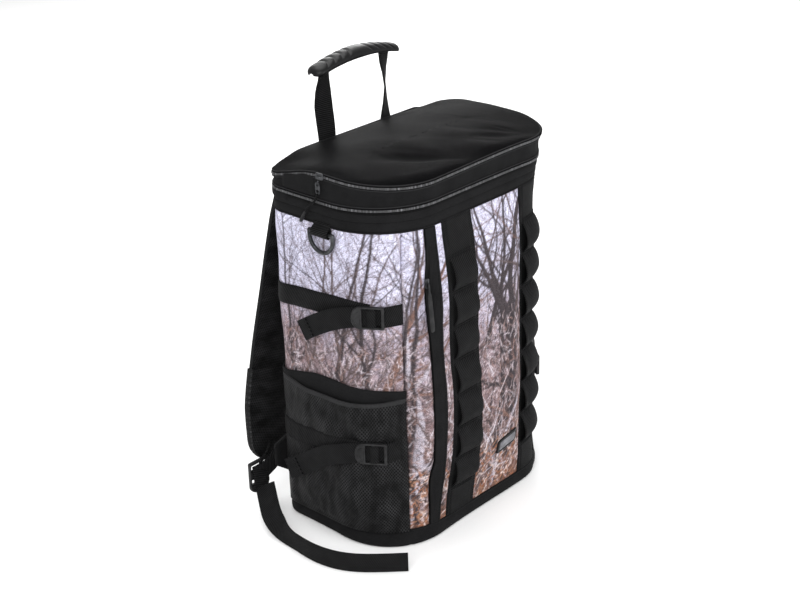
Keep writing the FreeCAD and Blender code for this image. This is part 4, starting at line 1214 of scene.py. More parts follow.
def make_lid_cover():
    """The lid's cover with its rounded edge, sewn together down the middle."""
    points = lid_shape()
    rows, columns = points.shape[:2]
    faces = grid_faces(rows, columns, wrap=True)
    piece = mesh_object("lid_cover", points, faces, points[..., :2])
    work = bmesh.new()
    work.from_mesh(piece.data)
    edge = [e for e in work.edges if near_spine(e) and e.verts[0].co.z > 0.458]
    bmesh.ops.remove_doubles(work, verts=list({v for e in edge for v in e.verts}), dist=0.0024)
    edge = [e for e in work.edges if near_spine(e)]
    bmesh.ops.holes_fill(work, edges=edge, sides=0)
    bmesh.ops.triangulate(work, faces=[f for f in work.faces if len(f.verts) > 4])
    work.to_mesh(piece.data)
    work.free()
    cloth_settle(piece, range(8 * columns), 1.2, 4.0)
    piece.data.shade_smooth()
    thicken(piece, 2.6)
    place_on(piece, "lid_pocket_lid", "lid_fabric", LID_CLOTH, "lid_cover")
    s = stretch(-BACK_SEAM, BACK_SEAM, 2.0)
    seam = tube("lid_seam", wall(s, lid_zip_height(s) + 3.4, 0.9), 0.7, 8)
    place_on(seam, "lid_pocket_lid", "lid_fabric", BINDING)


def make_zip_garage():
    """The hood that covers the lid zip's back end, and the cover on the main zip's back end."""
    s = stretch(left_place(66), left_place(7), 1.6)
    rows = np.linspace(0, 1, 22)[:, None]
    top = lid_zip_height(s) + 3.6
    z = 431.5 + (top[None, :] - 431.5) * rows
    edge = ease(s, left_place(66), left_place(56)) * (1 - ease(s, left_place(12), left_place(7.5)))
    out = -1.0 + edge * (3.4 - 1.6 * ease(rows, 0.8, 1.0) + 0.5 * ripple(s, z, 30, 71))
    hood = sheet("lid_zip_hood", wall(s, z, out), s, z, 1.6)
    place_on(hood, "main_lid", "black_fabric", BLACK_CLOTH)
    s = stretch(-BACK_SEAM, left_place(52), 1.6)
    cover = panel("main_zip_cover", s, stretch(413, 424.9, 1.4), cover_out, 1.4)
    place_on(cover, "pack", "black_fabric", BLACK_CLOTH)


def cover_out(s, z):
    """The cover on the main zip stands out between its sewn edges."""
    edge = ease(s, -BACK_SEAM, -BACK_SEAM + 6) * (1 - ease(s, left_place(56), left_place(52.3)))
    return -0.5 + 2.9 * edge * ease(z, 413, 416.5) * (1 - 0.3 * ease(z, 422, 424.9))


def make_hinge():
    """The piping along the back edge, where lid and bag are sewn together."""
    x = stretch(-121, 121, 4)
    line = np.stack([x, np.full_like(x, DEPTH / 2 + 0.6), hinge_height(x)], axis=-1)
    place_on(tube("hinge_piping", line, 1.5, 12), "pack", "black_fabric", BINDING)

# ---------------------------------------------------------------- ladders, patch and pockets

TACK_FIRST = 55.5
TACK_PITCH = 42.9
LOOPS = 7


def wall_strip(name, s, path, cloth_along, thick, sharp=50):
    """A strip on the wall: s across it, and a path of (z, out) pairs up it."""
    z, out = np.asarray(path, float).T[..., None]
    return sheet(name, wall(s, z, out), cloth_along[:, None], s, thick, sharp)


def loop_path(rise):
    """The loop webbing's path: flat at each tack, and a drooping loop between."""
    path = [(z, 1.3) for z in stretch(BOOT_TOP - 0.6, TACK_FIRST - 2, 4.0)]
    for number in range(LOOPS):
        low = TACK_FIRST + TACK_PITCH * number
        turn = np.linspace(0, math.pi, 19)
        out = 1.3 + rise * np.sin(turn) ** 0.75
        z = low + 2.2 + (TACK_PITCH - 4.4) * turn / math.pi - 3.2 * np.sin(turn) ** 2
        path += [(low - 2, 1.3)] + list(zip(z, out))
    last = TACK_FIRST + TACK_PITCH * LOOPS
    path += [(z, 1.3) for z in stretch(last - 2, PANEL_TOP + 1.5, 4.0)]
    return np.array(path)


def tack_bars(name, s_low, s_high, out):
    """Dense bar stitching at each tack, as low ridged bars."""
    pieces = []
    for number in range(LOOPS + 1):
        level = TACK_FIRST + TACK_PITCH * number
        for shift in (-1.5, 1.5):
            s = stretch(s_low, s_high, 0.9)
            z = level + shift + 0.35 * np.where(np.arange(len(s)) % 2, 1, -1)
            line = wall(s, z, out)
            pieces.append(tube(f"{name}_bar", line, 0.42, 6))
    return join(name, pieces)


def make_ladder(name, centre, rise):
    """A column of webbing loops tacked down over its backing."""
    backing_s = centre + stretch(-25, 25, 5)
    z = stretch(BOOT_TOP - 0.6, PANEL_TOP + 1.2, 5.0)
    out = 0.9 + 0.25 * ripple(z, 0, 50, 81)
    backing = wall_strip(name + "_backing", backing_s, np.stack([z, out], axis=-1), z, 1.2)
    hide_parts("ladder_backings")
    place_on(backing, "pack", "webbing", WEB)
    path = loop_path(rise)
    along = distances(path)
    loops = wall_strip(name + "_loops", centre + stretch(-19, 19, 3.8), path, along, 1.4, 80)
    place_on(loops, "pack", "webbing", WEB, name + "_ladder_loops")
    bars = tack_bars(name + "_tacks", centre - 17.5, centre + 17.5, 1.75)
    place_on(bars, "pack", "webbing", BINDING)


def edge_threads():
    """Stitch rows beside the ladder backings, along the zip flap and round the collar."""
    pieces = []
    z = stretch(BOOT_TOP + 1, PANEL_TOP - 1, 4.0)
    for s in (-71.0, -25.2, 66.2, 111.8):
        pieces.append((np.full_like(z, s), z, 1.15))
    pieces.append((np.full_like(z, -86.4), z, 1.4))
    around = stretch(-BACK_SEAM, BACK_SEAM, 4.0)
    for level, out in ((400.6, 0.75), (411.0, 0.45), (420.6, 0.65)):
        pieces.append((around, np.full_like(around, level), out))
    rows = []
    for number, (s, height, out) in enumerate(pieces):
        rows.append(stitches(f"thread_{number}", wall(s, height, out), outward(s)))
    place_on(join("edge_stitching", rows), "pack", "black_fabric", BINDING)


def rounded_box_outline(half_x, half_y, radius, steps=5):
    """A rectangle with rounded corners."""
    corners = []
    for number, (sx, sy) in enumerate(((1, 1), (-1, 1), (-1, -1), (1, -1))):
        for turn in np.linspace(0, math.pi / 2, steps):
            angle = turn + number * math.pi / 2
            corners.append((
                sx * (half_x - radius) + radius * math.cos(angle),
                sy * (half_y - radius) + radius * math.sin(angle),
            ))
    return np.array(corners)


def layered_plate(name, outline, layers, place):
    """A moulded plate: shrunk or grown copies of its outline stacked outward, then capped."""
    rings = []
    for grow, out in layers:
        size = np.abs(outline).max(axis=0)
        rings.append(place(outline * (1 + grow / size), out))
    faces = grid_faces(len(rings), len(outline), wrap=True).tolist()
    last = (len(rings) - 1) * len(outline)
    faces += end_caps(len(rings), len(outline))
    return recalculate(mesh_object(name, np.array(rings), faces, np.zeros((last + len(outline), 2))))


def make_patch():
    """The blank moulded badge low on the front pocket."""

    def on_front(outline, out):
        """Lay the badge on the pocket, slightly askew."""
        s = 32.0 + outline[:, 0]
        z = 80.3 + outline[:, 1] + 0.22 * outline[:, 0]
        return wall(s, z, out)

    base = rounded_box_outline(17.5, 9.6, 4)
    layers = [(0, 0.2), (0, 1.5), (-0.8, 2.2), (-2.6, 2.2), (-3.2, 1.7), (-3.4, 1.6)]
    rim = layered_plate("front_patch", base, layers, on_front)
    place_on(rim, "pack", "patch_rubber", PATCH_RIM, "front_patch")
    face = rounded_box_outline(13.7, 5.8, 2.4)
    layers = [(0, 1.4), (0, 2.2), (-0.6, 2.6), (-2.0, 2.75)]
    place_on(layered_plate("patch_face", face, layers, on_front), "pack", "patch_rubber", PATCH_FACE)


POCKET_FRONT = SEAM - 0.4
POCKET_REAR = 300.0


def pocket_out(arc, z):
    """The stretch pocket bellies out, and the strap across it pulls folds towards its buckle."""
    arc = np.abs(arc)
    rear = 1 - ease(arc, POCKET_REAR - 45, POCKET_REAR)
    belly = 7.5 * ease(arc, POCKET_FRONT, POCKET_FRONT + 36) * rear
    belly = belly * (0.15 + 0.85 * ease(z, BOOT_TOP, 60)) * (1 - 0.45 * ease(z, 150, 195))
    strap = hump(z, 124, 17) * ease(arc, POCKET_FRONT, 150)
    angle = np.arctan2(z - 129, arc - 165)
    away = np.hypot(z - 129, arc - 165)
    folds = np.sin(angle * 7 + 0.6 * np.sin(away / 14)) * hump(away, 46, 38) * 2.3
    slack = 1.9 * ripple(arc, z * 0.8, 50, 91) + 0.7 * ripple(arc * 1.3, z * 0.7, 20, 92)
    edge = ease(arc, POCKET_FRONT, POCKET_FRONT + 8) * (1 - ease(arc, POCKET_REAR - 10, POCKET_REAR))
    edge = edge * (1 - 0.85 * ease(z, 170, 183))
    out = np.maximum(belly * (1 - 0.42 * strap) + (folds + slack) * edge, -0.4)
    return 2.4 + out * ease(z, BOOT_TOP, BOOT_TOP + 12)


def pocket_top(arc):
    """The hem dips in the middle of the pocket."""
    middle = (np.abs(arc) - POCKET_FRONT) / (POCKET_REAR - POCKET_FRONT)
    return POCKET_TOP + 1.5 - 5.5 * np.sin(math.pi * np.clip(middle, 0, 1)) - 2.5 * middle


# How high the pocket's liner stands at places along the side.
LINER_ARCS = (126, 160, 205, 245, 270, 290, 325)
LINER_HEIGHTS = (203, 205, 209, 208, 204, 199, 193)


def side_sheet(name, side, z, s, out, thick):
    """A sheet over one side of the bag, turned so that its outer face looks outward."""
    piece = sheet(name, wall(s, z, out), s, z, thick)
    if side > 0:
        piece.data.flip_normals()
    return piece


def make_side_pocket(side):
    """The stretch pocket of one side with its hem, and the liner that stands up behind it."""
    name = side_name(side)
    arc = stretch(POCKET_FRONT, POCKET_REAR, 2.4)
    rows = np.linspace(0, 1, 84)[:, None]
    top = pocket_top(arc)
    z = (BOOT_TOP - TUCK) + (top[None, :] - BOOT_TOP + TUCK) * rows
    pocket = side_sheet(
        name + "_pocket_mesh", side, z, side * arc, pocket_out(side * arc, z), 1.2
    )
    place_on(pocket, "pack", "black_mesh", POCKET_MESH, name + "_pocket_mesh")
    hem_out = pocket_out(side * arc, top)
    hem = band(
        name + "_pocket_hem", side * arc, lambda place: hem_section(place, arc, top, hem_out)
    )
    place_on(hem, "pack", "binding", HEM, "pocket_bindings")
    arc = stretch(POCKET_FRONT - 0.3, BACK_SEAM - 0.5, 3.0)
    rows = np.r_[np.linspace(0, 0.7, 16), np.linspace(0.72, 1, 18)][:, None]
    crest = np.interp(arc, LINER_ARCS, LINER_HEIGHTS) + 0.8 * ripple(arc, 0, 70, 95)
    z = BOOT_TOP - TUCK + (crest[None, :] - BOOT_TOP + TUCK) * rows
    edge = 0.9 * hump(z, crest[None, :] - 2.5, 2.2)
    slack = (0.8 + 0.5 * ripple(side * arc, z, 48, 96)) * ease(z, 180, 192)
    liner = side_sheet(name + "_pocket_liner", side, z, side * arc, 0.5 + edge + slack, 1.4)
    place_on(liner, "pack", "black_fabric", BLACK_CLOTH, "pocket_liners")


def hem_section(place, arc, hem_z, hem_out):
    """Section of the pocket's hem, folded over the mesh."""
    height = np.interp(abs(place), arc, hem_z)
    out = np.interp(abs(place), arc, hem_out)
    return [
        (out - 1.6, height - 2.4), (out - 1.8, height + 1.5), (out - 0.6, height + 2.8),
        (out + 1.1, height + 2.2), (out + 1.7, height), (out + 1.2, height - 2.6), (out + 0.2, height - 3.2),
    ]

# ---------------------------------------------------------------- compression straps and buckles

LOCK_ARC = STRAIGHT + FRONT_RADIUS * math.radians(57)
LOCK_LENGTH = 44.0
LOCK_WIDTH = 31.0
LOCK_SKIN = 4.5
THUMB = 11.0  # length of the lock's rounded rear end


def corner_point(side, angle, offset):
    """Point, outward and forward directions on a front corner's arc."""
    turn = math.radians(angle)
    outward_way = np.array([side * math.cos(turn), -math.sin(turn), 0.0])
    forward = np.array([-side * math.sin(turn), -math.cos(turn), 0.0])
    centre = np.array([side * (WIDTH / 2 - FRONT_RADIUS), -DEPTH / 2 + FRONT_RADIUS, 0.0])
    return centre + outward_way * (FRONT_RADIUS + offset), outward_way, forward


def local_frame(origin, along, out):
    """Matrix in metres from a local frame: X along, Z outward."""
    third = np.cross(out, along)
    matrix = Matrix(np.stack([along, third, out], axis=-1).tolist()).to_4x4()
    matrix.translation = Vector(np.asarray(origin, float) * MM)
    return matrix


def flat_casting(name, outline, holes, thick, bevel, matrix):
    """A flat moulding with holes and rounded edges, from outlines in its local frame."""
    curve = bpy.data.curves.new(name, "CURVE")
    curve.dimensions = "2D"
    curve.fill_mode = "BOTH"
    curve.extrude = (thick / 2 - bevel) * MM
    curve.bevel_depth = bevel * MM
    curve.bevel_resolution = 2
    curve.offset = -bevel * MM
    for loop in [outline, *holes]:
        spline = curve.splines.new("POLY")
        spline.points.add(len(loop) - 1)
        for point, (x, y) in zip(spline.points, loop):
            point.co = (x * MM, y * MM, 0, 1)
        spline.use_cyclic_u = True
    holder = bpy.data.objects.new(name, curve)
    bpy.context.scene.collection.objects.link(holder)
    bpy.context.view_layer.update()
    mesh = bpy.data.meshes.new_from_object(holder)
    bpy.data.objects.remove(holder)
    mesh.transform(matrix @ Matrix.Translation((0, 0, thick / 2 * MM)))
    mesh.shade_smooth()
    mesh.set_sharp_from_angle(angle=math.radians(35))
    piece = bpy.data.objects.new(name, mesh)
    bpy.context.scene.collection.objects.link(piece)
    return piece


def box_loop(x_low, x_high, half_width, radius=0.8):
    """A rounded slot between two places along the piece."""
    half = (x_high - x_low) / 2
    return rounded_box_outline(half, half_width, radius, 4) + [(x_low + x_high) / 2, 0]


def lock_outline():
    """Straight sides, and a thumb tab rounded at the rear end."""
    half_length, half_width = LOCK_LENGTH / 2, LOCK_WIDTH / 2
    start = -half_length + THUMB
    points = [(half_length - 1.5, -half_width), (half_length, -half_width + 1.5)]
    points += [(half_length, half_width - 1.5), (half_length - 1.5, half_width)]
    for turn in np.linspace(math.pi / 2, 3 * math.pi / 2, 25):
        points.append((start + THUMB * math.cos(turn), half_width * math.sin(turn)))
    return points


def ladder_lock(name, body, matrix, replaced):
    """Three-bar buckle with the webbing that goes over its middle bar."""
    half_width = LOCK_WIDTH / 2 - 2.7
    slots = [box_loop(8.6, 18.0, half_width), box_loop(-7.5, 1.4, half_width)]
    plate = flat_casting(name, lock_outline(), slots, LOCK_SKIN, 1.1, matrix)
    raised = matrix @ Matrix.Translation((0, 0, 3.7 * MM))
    rail = flat_casting(name + "_thumb", thumb_outline(), [], 1.6, 0.7, raised)
    place_on(join(name, [plate, rail]), body, "buckle_plastic", BUCKLE, replaced)
    top = LOCK_SKIN + 1.0
    path = [
        (-1.0, 0, 0.6), (0, 0, top - 1.6), (2.2, 0, top),
        (7.6, 0, top), (9.8, 0, top - 1.6), (10.8, 0, 0.6),
    ]
    centres, tangents = smooth_path(path, 16)
    outs = np.cross(tangents, [0, 1.0, 0])
    outs = outs * np.sign(outs[:, 2:3] + 1e-6)
    strap = sweep(name + "_web", centres, outs, strap_loop(24.4, 1.5))
    strap.data.transform(matrix)
    place_on(strap, body, "webbing", WEB)


def thumb_outline():
    """The raised grip on the lock's rear end."""
    start = -LOCK_LENGTH / 2 + THUMB
    points = [(start + 1.0, -9.5), (start + 1.0, 9.5)]
    for turn in np.linspace(math.pi / 2, 3 * math.pi / 2, 15):
        points.append((start + 6.5 * math.cos(turn), 9.5 * math.sin(turn)))
    return points


def level_strip(name, s, heights, outs, width, thick=1.5):
    """Webbing on the wall along s: centre heights and stand-offs at each place."""
    rows = np.linspace(-width / 2, width / 2, 7)[:, None]
    out = outs[None, :] - 0.35 * (np.abs(rows) > width / 2 - 0.5)
    piece = sheet(name, wall(s, heights[None, :] + rows, out), s, rows, thick)
    if s[-1] < s[0]:
        piece.data.flip_normals()
    return piece


# Each level: lock height, lock stand-off, strap heights from the back to the buckle.
LEVELS = {
    "upper": (298.0, 0.3, (291, 295, 301.5, 304, 303, 299.5)),
    "lower": (129.5, 9.8, (117, 121, 126, 129, 130, 130)),
}
STRAP_ARCS = (BACK_SEAM - 4, 305, 250, 205, 184, 150)


def strap_heights(level, arc):
    """The strap's middle height along the side, with its bends rounded off."""
    heights = LEVELS[level][2]
    shift = (-10, 0, 10)
    return sum(np.interp(-(arc + k), [-a for a in STRAP_ARCS], heights) for k in shift) / 3


def make_compression(side, level):
    """One compression strap: the strap itself, its anchor, its lock and its tail."""
    name = side_name(side) + "_" + level
    height, over, _ = LEVELS[level]
    arc = stretch(BACK_SEAM - 4, LOCK_ARC + 1.5, 3.0)
    heights = strap_heights(level, arc)
    if level == "upper":
        rest = np.full_like(arc, 1.7)
    else:
        under = [pocket_out(side * arc, heights + k) for k in (-11, -5, 0, 5, 11)]
        rest = np.maximum.reduce(under) + 1.9
        rest = rest + (over + 1.8 - rest) * (1 - ease(arc, LOCK_ARC + 8, LOCK_ARC + 40))
    strap = level_strip(name + "_strap", side * arc, heights, rest, WEBBING)
    place_on(strap, "pack", "webbing", WEB, "compression_straps")
    arc = stretch(SEAM, LOCK_ARC - 3, 2.5)
    heights = height + (1.5 if level == "upper" else 1.0) * (1 - ease(arc, SEAM, LOCK_ARC - 11))
    rest = 1.6 + (over + 1.2) * ease(arc, SEAM + 2, LOCK_ARC - 12)
    anchor = level_strip(name + "_anchor", side * arc, heights, rest, WEBBING)
    place_on(anchor, "pack", "webbing", WEB, "compression_anchors")
    shift = float(soften(side * LOCK_ARC, height)) * (0.9 if side > 0 else 0.6)
    point, out, forward = corner_point(side, 33, over + 0.7 + shift)
    matrix = local_frame(point + [0, 0, height] - 4.0 * forward, forward, out)
    matrix = matrix @ Matrix.Diagonal((0.86, 0.88, 1, 1))
    body = name + "_buckle"
    ladder_lock(name + "_ladder_lock", body, matrix, name + "_ladder_lock")
    make_tail(name, side, level, height, over, body)


TAIL_PATHS = {
    "upper": (
        (164, -0.5, 1.9), (176, -0.8, 2.4), (184, -1.5, 3.6), (196, -4, 6.3),
        (212, -10.5, 7.2), (228, -19, 7.4), (243, -28, 7.2), (254, -35, 6.6),
    ),
    "lower": (
        (164, -0.5, 1.9), (176, -0.8, 2.4), (184, -1.5, 3.6), (197, -5.5, 6.0),
        (216, -14, 6.6), (238, -28, 6.0), (258, -42, 5.4), (274, -52, 5.0), (282, -56, 4.6),
    ),
}


def make_tail(name, side, level, height, over, body):
    """The strap's loose end, which comes back from under the buckle and hangs a little."""
    places = np.array([(side * a, height + b, over + c) for a, b, c in TAIL_PATHS[level]])
    centres, _ = smooth_path(places, 70)
    s, z, out = centres.T
    line = wall(s, z, out + 0.8)
    sides = outward(s)
    tail = sweep(name + "_tail", line, sides, strap_loop(WEBBING, 1.6, 7))
    fold = (line + sides * 1.5)[-12:]
    hem = sweep(name + "_hem", fold, sides[-12:], strap_loop(WEBBING - 0.4, 1.5, 7))
    place_on(join(name + "_tail", [tail, hem]), body, "webbing", WEB, name + "_tail")
    across = unit(np.cross(unit(np.gradient(line, axis=0)), sides))
    rows = []
    for number, index in enumerate((-10, -2)):
        row = line[index] + sides[index] * 2.35 + across[index] * stretch(-11, 11, 2)[:, None]
        rows.append(stitches(f"{name}_hem_{number}", row, sides[index]))
    place_on(join(name + "_hem_thread", rows), body, "webbing", BINDING)


# ---------------------------------------------------------------- rings, sliders and pulls


# The ring tab's loop: how far out from the side, and how high.
RING_TAB = (
    (1.6, 402), (1.9, 399.5), (4.4, 397.2), (7.2, 394.6), (8.4, 391),
    (7.2, 387.8), (4.4, 386.6), (1.8, 388), (1.0, 391.5), (0.9, 397),
)


def ring_tab(side):
    """The webbing tab that is folded round the D-ring's bar and sewn under the collar."""
    name = side_name(side)
    half = WIDTH / 2
    points = np.array([(side * (half + a), 0.0, z) for a, z in RING_TAB])
    centres, tangents = smooth_path(points, 46)
    outs = np.cross([0, side * -1.0, 0], tangents)
    tab = sweep(name + "_ring_tab", centres, outs, strap_loop(25.4, 1.5, 7))
    place_on(tab, "pack", "webbing", WEB, "ring_tabs")
    line = np.array([(side * (half + 3.6), y, 398.6) for y in stretch(-11, 11, 2)])
    thread = stitches(name + "_ring_thread", line, unit([side * 0.7, 0, 0.7]))
    place_on(thread, "pack", "webbing", BINDING)


def slider(name, body, centre, along, out, width, replaced):
    """A zip slider: waisted shield with its bridge for the pull."""
    matrix = local_frame(centre, along, out)
    shield = []
    for turn in np.linspace(0, 2 * math.pi, 40, endpoint=False):
        x, y = math.cos(turn), math.sin(turn)
        narrow = 1 - 0.16 * math.exp(-((x / 0.35) ** 2))
        shield.append((6 * np.sign(x) * abs(x) ** 0.7, width / 2 * narrow * np.sign(y) * abs(y) ** 0.55))
    plate = flat_casting(name, shield, [], 2.0, 0.6, matrix)
    bridge = np.array([(-3.4, 0, 1.6), (-2.6, 0, 2.8), (0, 0, 3.3), (2.6, 0, 2.8), (3.4, 0, 1.6)])
    line, _ = smooth_path(bridge, 16)
    arch = sweep(name + "_bridge", line, [0, 1.0, 0], circle_loop(0.75, 8))
    arch.data.transform(matrix)
    whole = join(name, [plate, arch])
    place_on(whole, body, "dark_metal", GUNMETAL, replaced)


FRONT_PULL_X = -101.4  # the front slider sits clear beside the flap


def make_sliders_and_pulls():
    """The three zip sliders and their pulls; the lid's cord is made with the cords."""
    left = -WIDTH / 2 - 1.2
    z = float(lid_zip_height(np.array([left_place(0)]))[0])
    slider("lid_slider", "lid_zip_slider", (left, 0, z), (0, 1, 0), (-1, 0, 0), 8.5, "lid_slider")
    slider("main_slider", "main_zip_slider", (-left, 30, 425), (0, 1, 0), (1, 0, 0), 8.5, "main_slider")
    front = (FRONT_PULL_X, -DEPTH / 2 - 3.2, 335)
    slider("front_slider", "front_zip_slider", front, (0, 0, 1), (0, -1, 0), 6.6, "front_slider")
    holes = [box_loop(-5.0, -1.6, 1.9, 1.4), box_loop(2.6, 5.0, 1.7, 1.1)]
    matrix = local_frame((-167.1, 0, 444.0), (0, 0, 1), (-1, 0, 0))
    puller = flat_casting("lid_puller", rounded_box_outline(6.9, 3.4, 2.2), holes, 1.5, 0.45, matrix)
    place_on(puller, "lid_zip_pull", "dark_metal", GUNMETAL, "lid_puller")
    line = [(-166.4, 0, 452.4), (-167.6, 0, 450.6), (-167.9, 0, 448.4), (-167.3, 0, 447.6)]
    centres, _ = smooth_path(line, 10)
    link = tube("lid_pull_link", centres, 0.8, 8)
    place_on(link, "lid_zip_slider", "dark_metal", GUNMETAL)
    matrix = local_frame((167.2, 30, 413.0), (0, 0, 1), (1, 0, 0))
    holes = [box_loop(6.2, 8.8, 2.0, 1.2)]
    puller = flat_casting("main_puller", rounded_box_outline(11, 3.4, 2.4), holes, 1.5, 0.45, matrix)
    place_on(puller, "main_zip_pull", "dark_metal", GUNMETAL, "main_puller")
    front_pull()


def front_pull():
    """The long moulded pull of the front zip: a waisted neck, then a flat ribbed tab."""
    along = np.array([0, 3, 6, 9, 14, 22, 30, 38, 46, 52, 55.5, 57])
    width = np.array([2.4, 3.0, 2.6, 2.8, 5.6, 6.6, 6.9, 7.0, 7.0, 6.8, 5.6, 3.4])
    skin = np.array([1.2, 1.6, 1.6, 1.6, 1.5, 1.7, 1.7, 1.7, 1.8, 2.0, 1.8, 1.2])
    where = np.linspace(0, along[-1], 70)
    wide = np.interp(where, along, width)
    ridge = 0.16 * np.sin(where * 2 * math.pi / 3.2) * ease(where, 22, 26) * (1 - ease(where, 46, 50))
    deep = np.interp(where, along, skin) + ridge
    y = -DEPTH / 2 - 6.6 - 5.2 * where / along[-1]
    line = np.stack([np.full_like(where, FRONT_PULL_X), y, 334.5 - where], axis=-1)
    loop = [
        (-0.5, -0.2), (-0.38, -0.5), (0.38, -0.5), (0.5, -0.2),
        (0.5, 0.2), (0.38, 0.5), (-0.38, 0.5), (-0.5, 0.2),
    ]
    piece = sweep("front_puller", line, [0, -1.0, 0], loop, np.stack([wide, deep], axis=-1))
    place_on(piece, "front_zip_pull", "pull_rubber", PULL, "front_puller")

# ---------------------------------------------------------------- carrying handle

BACK_FACE = DEPTH / 2 + 7.8  # the plane behind the back that the handle stands in


def handle_leg(side):
    """Webbing from the back panel up into the grip: it bows and twists on the way."""
    name = side_name(side)
    heights = (384, 410, 440, 455, 470, 490, 508, 520, 532)
    if side < 0:
        x = (-50, -50, -50, -50.5, -52, -54, -53.5, -52.0, -50.5)
        turns = (0, 0, 6, 10, 13, 12, 0, -14, -22)
    else:
        x = (50, 50, 50, 50, 50.5, 51, 50.5, 50, 50)
        turns = (0, 0, -8, -22, -34, -43, -34, -22, -15)
    points = [(a, BACK_FACE, z) for a, z in zip(x, heights)]
    centres, _ = smooth_path(points, 90)
    angle = np.radians(np.interp(centres[:, 2], heights, turns))
    outs = np.stack([np.sin(angle), np.cos(angle), np.zeros_like(angle)], axis=-1)
    leg = sweep(name + "_handle_leg", centres, outs, strap_loop(WEBBING, 1.9, 7))
    leg.data.materials.append(WEB)
    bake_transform(leg)
    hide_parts("handle_roots", "handle_webbing")
    rows = []
    for number, z in enumerate((388, 391, 412, 415)):
        row = np.array([(side * 50 + k, BACK_FACE + 1.05, z) for k in stretch(-11, 11, 2)])
        rows.append(stitches(f"{name}_root_{number}", row, [0, 1.0, 0]))
    place_on(join(name + "_root_thread", rows), "pack", "webbing", BINDING)


GRIP_HALF = 71.0  # half the grip's length


def rounded_end(part, start, reach):
    """1 along the grip, then round down to 0 within reach of start."""
    return math.sqrt(max(0.0, 1 - max(0.0, (part - start) / reach) ** 2))


def make_grip():
    """Moulded grip: an arched half-round cover with pointed ends and crescent grooves."""
    x = np.linspace(-GRIP_HALF, GRIP_HALF, 150)
    share = np.abs(x) / GRIP_HALF
    centre_z = 540.5 - 10.5 * share**2
    turns = np.radians(np.linspace(-22, 202, 27))
    rows = []
    for place, part, level in zip(x, share, centre_z):
        wide = 14.0 * (1 - 0.12 * part) * rounded_end(part, 0.86, 0.145) + 0.3
        tall = 8.2 * (1 - 0.22 * part) * rounded_end(part, 0.9, 0.105) + 0.3
        y = wide * np.cos(turns)
        z = tall * np.sin(turns)
        groove = 0
        bend = 5.0 * (np.cos(turns) ** 2) * (1 if place > 0 else -1)
        for spot in (0.2, 0.37, 0.54, 0.70):
            for sign in (-1, 1):
                groove = groove + hump(place - bend, sign * spot * GRIP_HALF, 1.9)
        top = ease(np.sin(turns), 0.15, 0.7)
        seam = 0.35 * hump(turns, math.pi / 2, 0.05)
        shrink = 1 - np.clip(groove, 0, 1) * top * 0.17 - seam * 0.06
        lip = np.array([(0.62 * y[-1], z[-1] + 1.6), (0.0, z[-1] + 2.4), (0.62 * y[0], z[0] + 1.6)])
        section = np.concatenate([np.stack([y * shrink, z * shrink], axis=-1), lip])
        rows.append([(place, BACK_FACE + a, level + b) for a, b in section])
    rows = np.array(rows)
    count, around = rows.shape[:2]
    faces = grid_faces(count, around, wrap=True).tolist() + end_caps(count, around)
    grip = mesh_object("handle_grip", rows, faces, np.zeros((count * around, 2)), 60)
    place_on(recalculate(grip), "carry_handle", "grip_rubber", GRIP, "handle_grip")


# ---------------------------------------------------------------- back and harness


CHANNELS = (115.0, 190.0, 265.0, 340.0)
PAD_MIDDLE = 242.5
PAD_CORNER = 30.0  # radius of the pad's corners


def make_back_pad():
    """Quilted pad in air mesh: pillows between sewn channels, round a hollow down the spine."""
    low, high = node_box("back_pad")
    x, z = np.meshgrid(stretch(low[0], high[0], 4.5), stretch(low[2], high[2], 4.5))
    edge = np.minimum.reduce([x - low[0], high[0] - x, z - low[2], high[2] - z])
    past_x = np.maximum(np.abs(x) - high[0] + PAD_CORNER, 0)
    past_z = np.maximum(np.abs(z - PAD_MIDDLE) - 172.5, 0)
    corner_pull = np.maximum(np.hypot(past_x, past_z) - PAD_CORNER, 0)
    x = x - np.sign(x) * corner_pull * 0.7
    z = z - np.sign(z - PAD_MIDDLE) * corner_pull * 0.7
    channel = np.exp(-((np.abs(x) - 17) / 3.0) ** 2)
    for level in CHANNELS:
        channel = np.maximum(channel, np.exp(-(((z - level - 0.0015 * x**2) / 3.0) ** 2)))
    lift = 3.9 * ease(edge, -1, 16) * (1 - 0.82 * channel)
    front = np.stack([x, low[1] + 1.0 + lift, z], axis=-1)
    back = np.stack([x, np.full_like(x, low[1] + 0.1), z], axis=-1)
    rows, columns = x.shape
    count = rows * columns
    points = np.concatenate([front.reshape(-1, 3), back.reshape(-1, 3)])
    faces = grid_faces(rows, columns).tolist()
    faces += [[a + count, d + count, c + count, b + count] for a, b, c, d in faces]
    ring = list(range(columns)) + [r * columns + columns - 1 for r in range(1, rows)]
    ring += list(range(count - 2, count - columns - 1, -1))
    ring += [r * columns for r in range(rows - 2, 0, -1)]
    faces += [[a, a + count, b + count, b] for a, b in zip(ring, ring[1:] + ring[:1])]
    cloth = np.tile(np.stack([x, z], axis=-1).reshape(-1, 2), (2, 1))
    pad = recalculate(mesh_object("back_pad", points, faces, cloth))
    held = (channel > 0.75) | (edge < 3)
    pinned = np.r_[np.nonzero(held.ravel())[0], np.arange(count, 2 * count)]
    cloth_settle(pad, pinned, 4.0, 4.0)
    subdivide(pad)
    place_on(pad, "pack", "air_mesh", AIR_MESH, "back_pad")
    outline = np.array([(x.ravel()[i], low[1] + 1.6, z.ravel()[i]) for i in ring + ring[:1]])
    piping = tube("back_pad_binding", outline, 2.2, 8)
    place_on(piping, "pack", "binding", BINDING)


def subdivide(piece):
    """One level of subdivision, kept in the mesh."""
    smooth = piece.modifiers.new("smooth", "SUBSURF")
    smooth.levels = 1
    smooth.render_levels = 1
    return apply_modifiers(piece)


